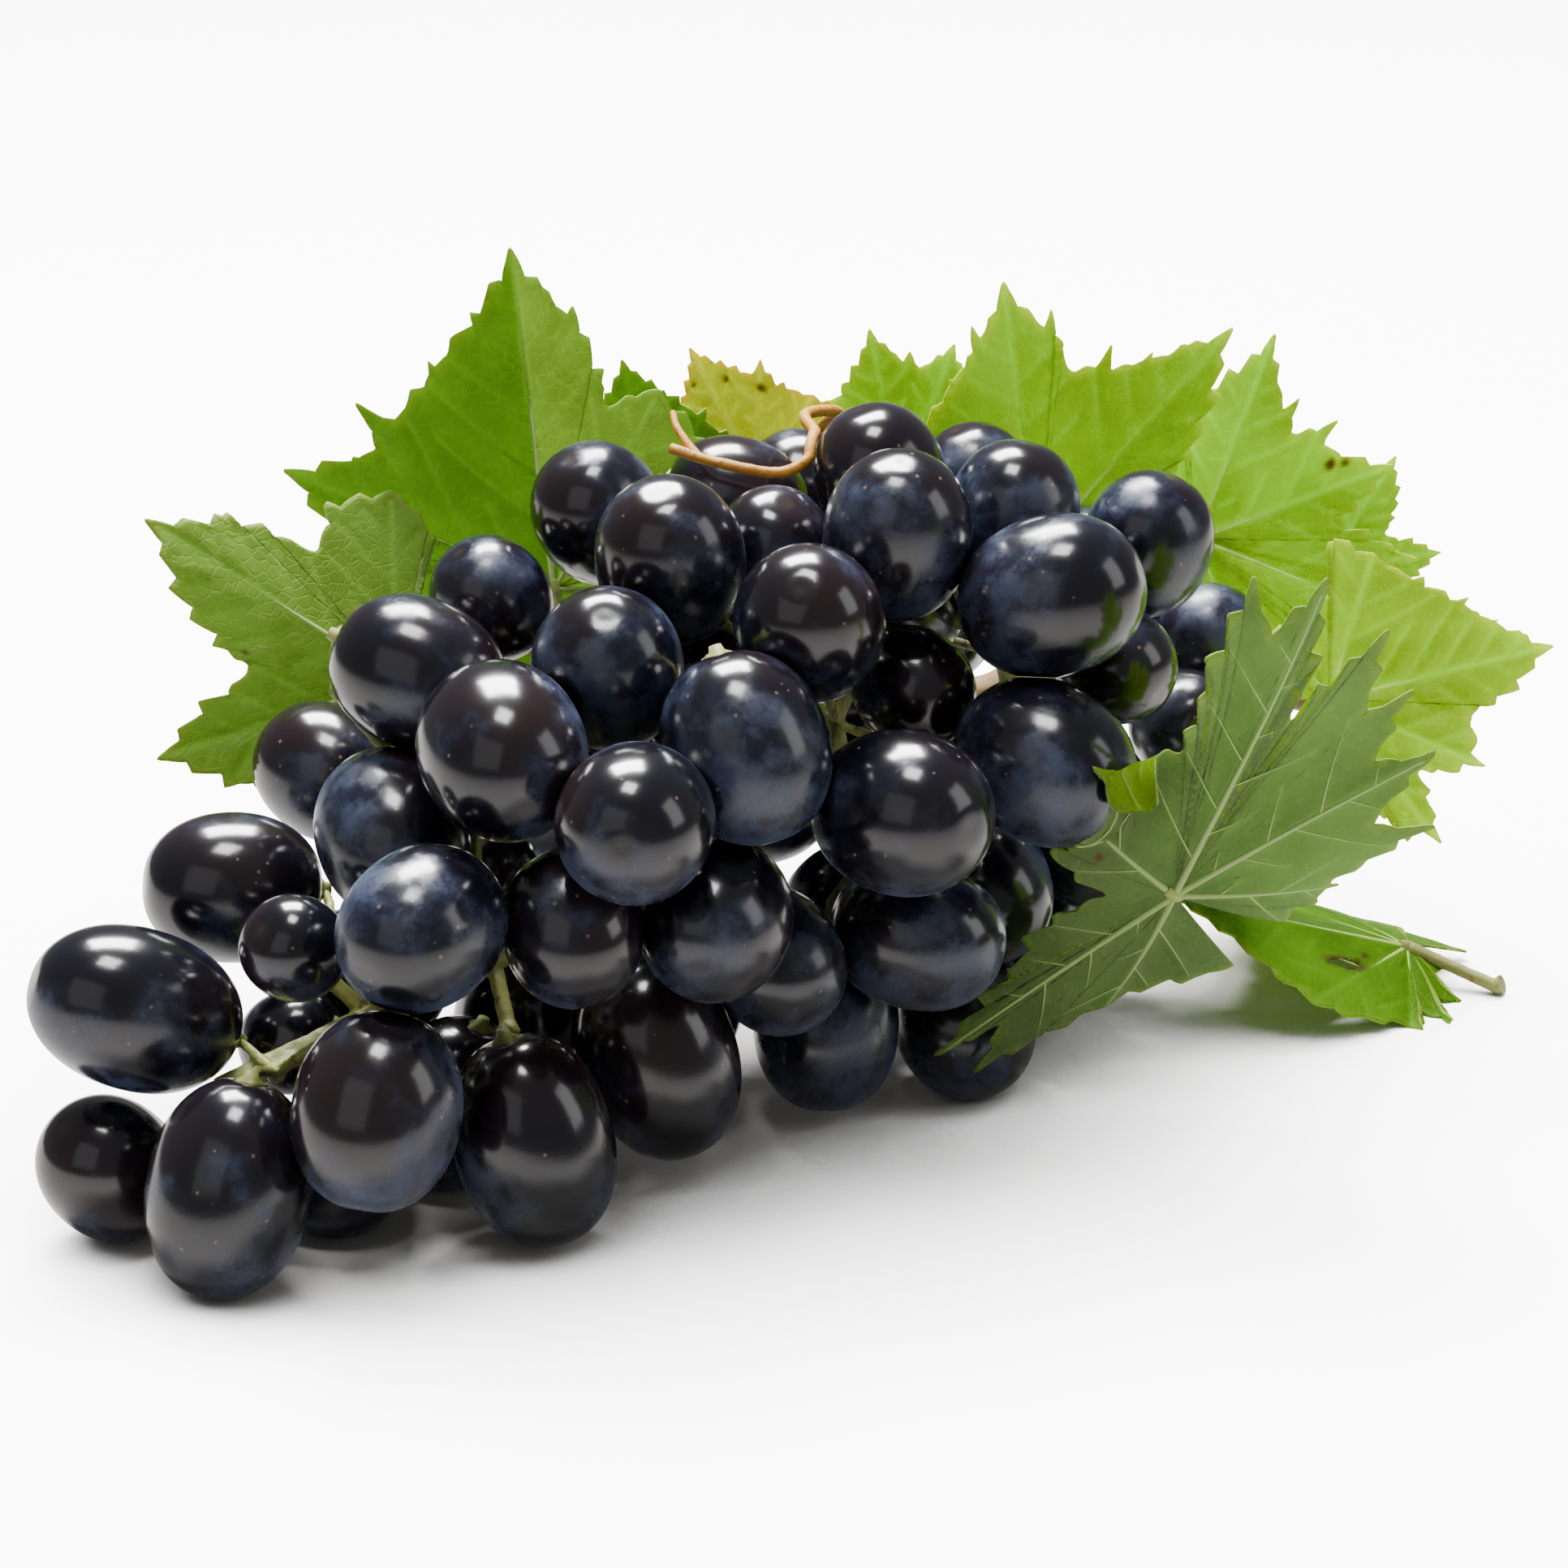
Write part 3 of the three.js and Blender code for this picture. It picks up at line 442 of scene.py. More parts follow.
# %% Shape one berry
GROWTH = 1.018
FULLNESS = 2.14
LUMP = 0.011
DIMPLE_DEPTH = 0.7 * MM
DIMPLE_WIDTH = 2.1 * MM
SCAR_WIDTH = 0.8 * MM
SCAR_DENT = 0.35
STEM_SIDE, FREE_SIDE = 1.0, 2.1
NEIGHBOURS = 15
TOUCHING = 1.6 * MM
PRESSED = 0.03 * MM
TOUCH_REACH = 0.55 * MM
HALO_SHARE = 0.6
HALO_WIDTHS = (1.4 * MM, 2.8 * MM)
TABLE_GAP = 0.02 * MM
# Painted shade: how much less wax, so a darker skin, each berry gets toward its top.
PAINTED_TOP_SHADE = 0.9


def reach_toward(i, direction):
    along = AXES[i] @ direction
    return math.sqrt((LONGS[i] * along) ** 2 + ROUNDS[i] ** 2 * (1 - along**2))


def frame_round(axis):
    side = np.cross(axis, (0.31, 0.17, 0.93))
    side /= np.linalg.norm(side)
    return side, np.cross(axis, side)


def berry_grid(rings, around):
    """Turns down and round a ball, its two poles as single corners, and the faces between them."""
    down = np.pi * np.arange(1, rings) / rings
    turn = 2 * np.pi * np.arange(around) / around
    downs = np.concatenate([[0.0], np.repeat(down, around), [np.pi]])
    turns = np.concatenate([[0.0], np.tile(turn, rings - 1), [0.0]])
    faces = []
    last = len(downs) - 1
    for k in range(around):
        nxt = (k + 1) % around
        faces.append((0, 1 + nxt, 1 + k))
        for row in range(rings - 2):
            here = 1 + row * around
            faces.append((here + k, here + nxt, here + around + nxt, here + around + k))
        faces.append((last, last - around + k, last - around + nxt))
    return downs, turns, faces


def lone_berry(i, grid, chance):
    """Berry i without its neighbours, as offsets from its middle, and how far each is from its axis."""
    downs, turns, _ = grid
    side, other = frame_round(AXES[i])
    rounded = np.abs(np.cos(downs)) ** FULLNESS + np.sin(downs) ** FULLNESS
    fuller = rounded ** (-1 / FULLNESS) * GROWTH
    lumps = np.zeros_like(downs)
    for wave in range(1, 4):
        turned = np.cos(wave * turns + chance.uniform(0, 6.28)) * np.sin(downs) ** wave
        lumps += turned * np.cos(wave * downs + chance.uniform(0, 6.28)) * LUMP / wave
    spread = np.sin(downs) * fuller * (1 + lumps) * ROUNDS[i]
    rise = -np.cos(downs) * fuller * (1 + lumps) * LONGS[i]
    dent = DIMPLE_DEPTH * np.exp(-((spread / DIMPLE_WIDTH) ** 2))
    rise = np.where(downs < STEM_SIDE, rise + dent, rise - SCAR_DENT * dent * (downs > FREE_SIDE))
    offset = np.outer(rise, AXES[i])
    offset += np.outer(spread * np.cos(turns), side)
    offset += np.outer(spread * np.sin(turns), other)
    return offset, spread


def press_flat(i, offset):
    """Flattens berry i against its neighbours and says how near each corner is to one of the flats."""
    touch = np.zeros(len(offset))
    for j in np.argsort(np.linalg.norm(MIDDLES - MIDDLES[i], axis=1))[1 : NEIGHBOURS + 1]:
        between = MIDDLES[j] - MIDDLES[i]
        apart = np.linalg.norm(between)
        between = between / apart
        mine = reach_toward(i, between)
        gap = apart - mine - reach_toward(j, between)
        if gap > TOUCHING:
            continue
        plane = mine + gap / 2 - PRESSED
        height = offset @ between
        offset -= np.outer(np.maximum(height - plane, 0), between)
        near = np.exp(-((np.minimum(height - plane, 0) / TOUCH_REACH) ** 2))
        touch = np.maximum(touch, near)
    return touch


def berry_shape(i, grid, chance):
    offset, spread = lone_berry(i, grid, chance)
    touch = press_flat(i, offset)
    free_end = grid[0] > FREE_SIDE
    if chance.uniform() < HALO_SHARE:
        halo = np.exp(-((spread / chance.uniform(*HALO_WIDTHS)) ** 4))
        touch = np.maximum(touch, 0.9 * halo * free_end)
    scar = np.exp(-((spread / SCAR_WIDTH) ** 2)) * free_end
    shape = MIDDLES[i] + offset
    shape[:, 2] = np.maximum(shape[:, 2], TABLE_GAP)
    return shape, touch, scar


def berries_together(name, members, rings, around, seed):
    chance = np.random.default_rng(seed)
    grid = berry_grid(rings, around)
    places, faces, values = [], [], {"touch": [], "scar": [], "tone_and_top_shade": []}
    for i in members:
        start = sum(len(p) for p in places)
        shape, touch, scar = berry_shape(i, grid, chance)
        places.append(shape)
        values["touch"].append(touch)
        values["scar"].append(scar)
        # A random tone per berry, plus painted shade that thins the bloom toward the berry's top.
        upward = (shape[:, 2] - MIDDLES[i][2]) / ROUNDS[i]
        values["tone_and_top_shade"].append(chance.uniform(-0.8, 0.8) - PAINTED_TOP_SHADE * upward)
        faces += [tuple(start + corner for corner in face) for face in grid[2]]
    flat = {key: np.concatenate(parts) for key, parts in values.items()}
    piece = mesh_piece(name, np.concatenate(places), faces, flat)
    piece.data.materials.append(SKIN)
    return piece


# %% Make the berries
FRONT_DETAIL = (56, 72)
CLUSTER_DETAIL = (40, 52)


def make_berries():
    made = []
    for number, node in enumerate(sorted({b["node"] for b in BERRIES})):
        members = [i for i, b in enumerate(BERRIES) if b["node"] == node]
        detail = CLUSTER_DETAIL if "_cluster_" in node else FRONT_DETAIL
        ending = "berries" if "_cluster_" in node else "skin"
        piece = berries_together(f"{node}_{ending}", members, *detail, seed=100 + number)
        made.append(stands_for(piece, [node]))
    return made


print("berry pieces:", len(make_berries()))

# %% [markdown]
# ## Tubes along lines
# The shoot, the tendril, the leaf stalks and the leaf veins are all tubes that follow a line and change
# in thickness. One Geometry Nodes tree makes them all: it turns a line of points into a curve, reads each
# point's radius, sweeps a circle along it, and roughens the surface with noise.

# %% The tube tree


class Tree:
    """A Geometry Nodes group under construction, with named number inputs."""

    def __init__(self, name, numbers):
        self.group = bpy.data.node_groups.new(name, "GeometryNodeTree")
        shape = self.group.interface
        shape.new_socket("Geometry", in_out="INPUT", socket_type="NodeSocketGeometry")
        shape.new_socket("Material", in_out="INPUT", socket_type="NodeSocketMaterial")
        for title, kind in numbers.items():
            shape.new_socket(title, in_out="INPUT", socket_type=f"NodeSocket{kind}")
        shape.new_socket("Geometry", in_out="OUTPUT", socket_type="NodeSocketGeometry")
        self.inputs = self.group.nodes.new("NodeGroupInput").outputs

    def node(self, kind, settings=None, **inputs):
        made = self.group.nodes.new(kind)
        for key, value in (settings or {}).items():
            setattr(made, key, value)
        for key, value in inputs.items():
            socket = made.inputs[key.replace("_", " ")]
            if isinstance(value, bpy.types.NodeSocket):
                self.group.links.new(value, socket)
            else:
                socket.default_value = value
        return made

    def maths(self, operation, first, second):
        made = self.node("ShaderNodeMath", {"operation": operation})
        for socket, value in zip(made.inputs, (first, second)):
            if isinstance(value, bpy.types.NodeSocket):
                self.group.links.new(value, socket)
            else:
                socket.default_value = value
        return made.outputs[0]

    def named(self, name, kind="FLOAT"):
        made = self.node("GeometryNodeInputNamedAttribute", {"data_type": kind}, Name=name)
        return made.outputs["Attribute"]

    def roughened(self, geometry, amount, grain):
        """The geometry with its corners moved in or out along their normals by noise."""
        noise = self.node("ShaderNodeTexNoise", Scale=grain, Detail=3.0).outputs["Fac"]
        height = self.maths("MULTIPLY", self.maths("SUBTRACT", noise, 0.5), amount)
        move = self.node("ShaderNodeVectorMath", {"operation": "SCALE"}, Scale=height)
        normal = self.node("GeometryNodeInputNormal").outputs["Normal"]
        self.group.links.new(normal, move.inputs[0])
        moved = self.node("GeometryNodeSetPosition", Geometry=geometry, Offset=move.outputs[0])
        return moved.outputs[0]

    def finish(self, geometry):
        """Every tree ends alike: instances made real, then the material set."""
        real = self.node("GeometryNodeRealizeInstances", Geometry=geometry).outputs[0]
        smooth = self.node("GeometryNodeSetShadeSmooth", Geometry=real).outputs[0]
        material = self.inputs["Material"]
        done = self.node("GeometryNodeSetMaterial", Geometry=smooth, Material=material)
        out = self.group.nodes.new("NodeGroupOutput")
        self.group.links.new(done.outputs[0], out.inputs[0])
        return self.group


def grown(piece, tree, material, **values):
    """Runs a tree on a piece and keeps the result as its plain mesh."""
    modifier = piece.modifiers.new(tree.name, "NODES")
    modifier.node_group = tree
    for item in tree.interface.items_tree:
        if item.item_type == "SOCKET" and item.in_out == "INPUT":
            if item.name == "Material":
                modifier[item.identifier] = material
            elif item.name in values:
                modifier[item.identifier] = values[item.name]
    return settled(piece)


def tube_tree():
    tree = Tree("tube along a line", {"Sides": "Int", "Unevenness": "Float", "Grain": "Float"})
    curve = tree.node("GeometryNodeMeshToCurve", Mesh=tree.inputs["Geometry"]).outputs[0]
    sides = tree.inputs["Sides"]
    ring = tree.node("GeometryNodeCurvePrimitiveCircle", Resolution=sides, Radius=1.0).outputs[0]
    radius = tree.named("radius")
    sized = tree.node("GeometryNodeSetCurveRadius", Curve=curve, Radius=radius).outputs[0]
    sweep = tree.node("GeometryNodeCurveToMesh", Curve=sized, Profile_Curve=ring, Fill_Caps=True)
    if "Scale" in sweep.inputs:
        tree.group.links.new(tree.named("radius"), sweep.inputs["Scale"])
    rough = tree.roughened(sweep.outputs[0], tree.inputs["Unevenness"], tree.inputs["Grain"])
    return tree.finish(rough)


TUBE = tube_tree()


def line_piece(name, lines):
    """Lines of (place, radius) as one object of points and edges, ready for the tube tree."""
    places, edges, radii = [], [], []
    for line in lines:
        start = len(places)
        places += [tuple(place) for place, _ in line]
        radii += [radius for _, radius in line]
        edges += [(start + k, start + k + 1) for k in range(len(line) - 1)]
    mesh = bpy.data.meshes.new(name)
    mesh.from_pydata(places, edges, [])
    radius = mesh.attributes.new("radius", "FLOAT", "POINT")
    radius.data.foreach_set("value", np.array(radii, np.float32))
    piece = bpy.data.objects.new(name, mesh)
    bpy.context.scene.collection.objects.link(piece)
    return piece


FINE_STEPS = 24


def along(points, steps):
    """A smooth line through a few guide points, evenly stepped."""
    guide = np.array(points, dtype=float)
    ends = np.vstack([2 * guide[0] - guide[1], guide, 2 * guide[-1] - guide[-2]])
    fine = []
    for k in range(len(guide) - 1):
        a, b, c, d = ends[k : k + 4]
        for t in np.linspace(0, 1, FINE_STEPS, endpoint=False):
            bend = (2 * a - 5 * b + 4 * c - d) * t**2 + (3 * b - a - 3 * c + d) * t**3
            fine.append(0.5 * (2 * b + (c - a) * t + bend))
    fine = np.array(fine + [guide[-1]])
    length = np.concatenate([[0], np.cumsum(np.linalg.norm(np.diff(fine, axis=0), axis=1))])
    wanted = np.linspace(0, length[-1], steps + 1)
    return np.column_stack([np.interp(wanted, length, fine[:, axis]) for axis in range(3)])


# %% [markdown]
# ## Keeping clear of the berries
# Leaves and their stalks lie against berries and bend round them. A point that is inside a berry's skin,
# or closer to it than it should be, is moved out along the skin's slope.

# %% Push points out of berries
OFF_THE_TABLE = 0.25 * MM
SPRING = 0.35


def keep_clear(places, room, rounds=2):
    moved = np.array(places, dtype=float)
    for _ in range(rounds):
        for i in range(len(BERRIES)):
            away = moved - MIDDLES[i]
            near = np.linalg.norm(away, axis=1) < LONGS[i] + room + MM
            if not near.any():
                continue
            away = away[near]
            rise = away @ AXES[i]
            across = away - np.outer(rise, AXES[i])
            depth = np.sqrt((rise / LONGS[i]) ** 2 + (across**2).sum(axis=1) / ROUNDS[i] ** 2)
            slope = np.outer(rise / LONGS[i] ** 2, AXES[i]) + across / ROUNDS[i] ** 2
            steep = np.linalg.norm(slope, axis=1)
            clearance = (depth - 1) * np.maximum(depth, 0.05) / steep
            push = np.maximum(room - clearance, 0) / steep
            moved[near] += slope * push[:, None]
    moved[:, 2] = np.maximum(moved[:, 2], OFF_THE_TABLE)
    return moved


def way_through(start, end, room, steps=16, rounds=120):
    """A springy line between two points that bends round the berries in its way."""
    line = start + (end - start) * np.linspace(0, 1, steps + 1)[:, None]
    for _ in range(rounds):
        line[1:-1] += SPRING * ((line[:-2] + line[2:]) / 2 - line[1:-1])
        line[1:-1] = keep_clear(line[1:-1], room, 1)
    return line


# %% [markdown]
# ## Wood, stalk and tendril finishes
# The stalk of a fresh bunch is yellow-green with brown freckles. The shoot is older and woody, a plain
# brown. The tendril has dried to an orange tan. Leaf stalks are green, browner in patches.

# %% Stalk materials


def stalk_finish(name, light, dark, freckle, rough, grain):
    stalk = Finish(name)
    patches = stalk.noise(90, 4, 0.6)
    fine = stalk.noise(grain, 4, 0.6)
    colour = stalk.mix(stalk.ramp(patches, 0.35, 0.65), light, dark)
    colour = stalk.mix(stalk.ramp(fine, 0.56, 0.68, 0, 0.8), colour, freckle)
    stalk.feed(stalk.surface, "Base Color", colour)
    stalk.feed(stalk.surface, "Roughness", stalk.ramp(fine, 0.2, 0.8, rough - 0.08, rough + 0.1))
    height = stalk.maths("ADD", fine, stalk.maths("MULTIPLY", patches, 0.5))
    stalk.bump(height, 0.3 * MM, 0.5)
    return stalk.material


# Each finish: its light, dark and freckle colours, how rough it is, and how fine its freckles are.
STALKS = {
    "green stalk": ((0.30, 0.31, 0.075, 1), (0.17, 0.20, 0.045, 1), (0.10, 0.055, 0.022, 1), 0.55, 420),
    "woody shoot": ((0.26, 0.15, 0.06, 1), (0.15, 0.085, 0.035, 1), (0.05, 0.027, 0.012, 1), 0.7, 420),
    "dry tendril": ((0.56, 0.26, 0.015, 1), (0.40, 0.16, 0.01, 1), (0.09, 0.038, 0.008, 1), 0.6, 900),
    "leaf stalk": ((0.33, 0.42, 0.09, 1), (0.30, 0.30, 0.09, 1), (0.26, 0.14, 0.06, 1), 0.5, 420),
}
GREEN, WOOD, TAN, LEAF_STALK = (stalk_finish(name, *look) for name, look in STALKS.items())
print("stalk finishes made")

# %% [markdown]
# ## The bunch's stalk
# The stalk forks again and again, and each fork is a soft swelling, not two sticks stuck together. The
# CAD stalk has the routes; it is rebuilt from tiny cubes (a voxel remesh), which closes all its forks into
# one skin, smoothed so that its corners go, and then roughened by a second Geometry Nodes tree.

# %% Stalk surface
STALK_VOXEL = 0.36 * MM
INSIDE_BERRY = 0.2 * MM


def bark_tree():
    tree = Tree("bark", {"Unevenness": "Float", "Grain": "Float"})
    rough = tree.roughened(tree.inputs["Geometry"], tree.inputs["Unevenness"], tree.inputs["Grain"])
    return tree.finish(rough)


BARK = bark_tree()


def remeshed(piece, voxel, smoothing):
    remesh = piece.modifiers.new("rebuild", "REMESH")
    remesh.mode = "VOXEL"
    remesh.voxel_size = voxel
    smooth = piece.modifiers.new("soften", "SMOOTH")
    smooth.factor = 0.5
    smooth.iterations = smoothing
    return settled(piece)


def make_stalk():
    places, triangles = corners_of("stalk")
    piece = remeshed(mesh_piece("stalk_bark", places, triangles), STALK_VOXEL, 5)
    grown(piece, BARK, GREEN, Unevenness=0.35 * MM, Grain=650.0)
    return stands_for(piece, ["stalk"])


def make_cluster_twigs(node):
    """The twigs of a cluster: its solid without the berries' large facets, closed where they were."""
    places, triangles = corners_of(node)
    berry_facets = np.zeros(len(triangles), bool)
    for i, one in enumerate(BERRIES):
        if one["node"] != node:
            continue
        away = places[triangles].mean(axis=1) - MIDDLES[i]
        rise = away @ AXES[i]
        across = np.linalg.norm(away - np.outer(rise, AXES[i]), axis=1)
        depth = np.hypot(rise / (LONGS[i] + INSIDE_BERRY), across / (ROUNDS[i] + INSIDE_BERRY))
        berry_facets |= depth < 1
    twigs = bmesh.new()
    corners = [twigs.verts.new(p) for p in places]
    for triangle in triangles[~berry_facets]:
        twigs.faces.new([corners[k] for k in triangle])
    bmesh.ops.delete(twigs, geom=[v for v in twigs.verts if not v.link_faces], context="VERTS")
    bmesh.ops.holes_fill(twigs, edges=[e for e in twigs.edges if e.is_boundary])
    mesh = bpy.data.meshes.new(f"{node}_twigs")
    twigs.to_mesh(mesh)
    twigs.free()
    piece = bpy.data.objects.new(f"{node}_twigs", mesh)
    bpy.context.scene.collection.objects.link(piece)
    remeshed(piece, STALK_VOXEL, 4)
    grown(piece, BARK, GREEN, Unevenness=0.3 * MM, Grain=650.0)
    return stands_for(piece, [node])


print("stalk faces:", len(make_stalk().data.polygons))
for node in sorted(NODES):
    if "_cluster_" in node:
        print(node, "twig faces:", len(make_cluster_twigs(node).data.polygons))

# %% [markdown]
# ## Collars
# Where a stem meets its berry it flares into a little green-brown collar that sits in the berry's dent.
# Every berry has one, so a Geometry Nodes tree places the same small turned shape at each stem end.

# %% Collars on every stem end
COLLAR_BOTTOM, COLLAR_TOP = -0.4, 2.0
COLLAR_RINGS = [(1.5, -0.35), (1.95, 0.05), (1.75, 0.45), (1.1, 1.0), (0.85, 1.9)]
COLLAR_SIDES = 14
COLLAR_LOBES = 5
LOBE_DEPTH = 0.2
LOBED_PAST = 1.6
SMALLEST_COLLAR = 0.45
COLLAR_GROWTH = 1 / (20 * MM)


def collar_shape():
    places, faces = [(0, 0, COLLAR_BOTTOM * MM)], []
    for radius, rise in COLLAR_RINGS:
        for k in range(COLLAR_SIDES):
            turn = 2 * math.pi * k / COLLAR_SIDES
            lobe = 1 + LOBE_DEPTH * math.cos(COLLAR_LOBES * turn) * (radius > LOBED_PAST)
            out = radius * lobe * MM
            places.append((out * math.cos(turn), out * math.sin(turn), rise * MM))
    places.append((0, 0, COLLAR_TOP * MM))
    top = len(places) - 1
    for k in range(COLLAR_SIDES):
        nxt = (k + 1) % COLLAR_SIDES
        faces.append((0, 1 + nxt, 1 + k))
        for row in range(len(COLLAR_RINGS) - 1):
            here = 1 + row * COLLAR_SIDES
            above = here + COLLAR_SIDES
            faces.append((here + k, here + nxt, above + nxt, above + k))
        faces.append((top, top - COLLAR_SIDES + k, top - COLLAR_SIDES + nxt))
    return mesh_piece("collar pattern", places, faces)


def collar_tree(pattern):
    tree = Tree("collars", {"Size": "Float"})
    shape = tree.node("GeometryNodeObjectInfo", Object=pattern).outputs["Geometry"]
    away = tree.named("away", "FLOAT_VECTOR")
    turn = tree.node("FunctionNodeAlignRotationToVector", {"axis": "Z"}, Vector=away).outputs[0]
    points = tree.node("GeometryNodeMeshToPoints", Mesh=tree.inputs["Geometry"]).outputs[0]
    size = tree.maths("MULTIPLY", tree.inputs["Size"], tree.named("size"))
    copies = {"Points": points, "Instance": shape, "Rotation": turn, "Scale": size}
    placed = tree.node("GeometryNodeInstanceOnPoints", **copies)
    return tree.finish(placed.outputs[0])


def make_collars(name, members, nodes):
    ends = [MIDDLES[i] - AXES[i] * (LONGS[i] * GROWTH - DIMPLE_DEPTH) for i in members]
    piece = mesh_piece(name, ends, [])
    away = piece.data.attributes.new("away", "FLOAT_VECTOR", "POINT")
    away.data.foreach_set("vector", np.array([-AXES[i] for i in members], np.float32).ravel())
    sizes = piece.data.attributes.new("size", "FLOAT", "POINT")
    grown_sizes = [SMALLEST_COLLAR + ROUNDS[i] * COLLAR_GROWTH for i in members]
    sizes.data.foreach_set("value", np.array(grown_sizes, np.float32))
    grown(piece, COLLARS, GREEN, Size=1.0)
    return stands_for(piece, nodes)


pattern = collar_shape()
COLLARS = collar_tree(pattern)
fronts = [i for i, b in enumerate(BERRIES) if "_berry_" in b["node"]]
hinds = [i for i, b in enumerate(BERRIES) if "_cluster_" in b["node"]]
make_collars("front_collars", fronts, ["stalk"])
make_collars("cluster_collars", hinds, sorted({BERRIES[i]["node"] for i in hinds}))
bpy.data.objects.remove(pattern)
print("collars:", len(fronts) + len(hinds))

# %% [markdown]
# ## The shoot and the tendril
# The leaves and the tendril grow from the shoot behind the bunch. It thickens into a knot wherever
# something grows from it. The tendril climbs over the berries, thins, and forks at its end.

# %% Shoot and tendril
KNOT_PLACES = [0.02, 0.1, 0.2, 0.34, 0.46, 0.62, 0.78, 0.9, 0.98]
KNOT_WIDTH = 0.016
KNOT_SWELLING = 0.32
TENDRIL_RADIUS = 0.9 * MM
TENDRIL = [(6, 76, 44), (6, 66, 62), (5, 62, 84), (8, 46, 93), (3, 34, 96)]
TENDRIL += [(5, 26, 94), (0, 22, 91), (-9, 23, 92), (-16, 27, 93)]
TENDRIL_FORK = [(-12, 25, 92), (-15, 29, 95), (-16, 32, 97)]


def make_shoot():
    line = along([spot(*p) for p in SHOOT_POINTS], 160)
    share = np.linspace(0, 1, len(line))
    knots = sum(np.exp(-(((share - place) / KNOT_WIDTH) ** 2)) for place in KNOT_PLACES)
    radii = SHOOT_RADIUS * (0.94 + KNOT_SWELLING * knots)
    piece = line_piece("shoot_wood", [list(zip(line, radii))])
    grown(piece, TUBE, WOOD, Sides=28, Unevenness=0.7 * MM, Grain=260.0)
    return stands_for(piece, ["shoot"])


def make_tendril():
    main = keep_clear(along([spot(*p) for p in TENDRIL], 130), TENDRIL_RADIUS + 0.5 * MM)
    fork = along([spot(*p) for p in TENDRIL_FORK], 16)
    thin = TENDRIL_RADIUS * np.linspace(1.2, 0.85, len(main))
    fork_thin = TENDRIL_RADIUS * np.linspace(0.85, 0.5, len(fork))
    piece = line_piece("tendril_wire", [list(zip(main, thin)), list(zip(fork, fork_thin))])
    grown(piece, TUBE, TAN, Sides=14, Unevenness=0.35 * MM, Grain=700.0)
    return stands_for(piece, ["tendril"])


for piece in (make_shoot(), make_tendril()):
    print(piece.name, "faces:", len(piece.data.polygons))

# %% [markdown]
# ## Leaves
# A vine leaf has a main vein from its joint to the tip of each large lobe, with bays between the lobes. Its
# edge is a row of teeth that lean toward the lobes' tips. The blade sits in the same bent, folded surface
# as its CAD solid: first the flat outline is drawn, then each flat point is placed on that surface, then it
# is pushed clear of the berries. The front leaf's small lobe also rolls its rim over.
#
# Each leaf below says where its joint and the tip of its midrib are, which way its upper face looks, and
# where on the shoot it grows or where its stalk was cut. Its lobes are given left and right of the midrib,
# in degrees and in reach for a midrib of 1, with a taper of their own if they need one. Its bays have a
# middle, a width in degrees and a depth. Fold and cup are degrees for its left and right halves.

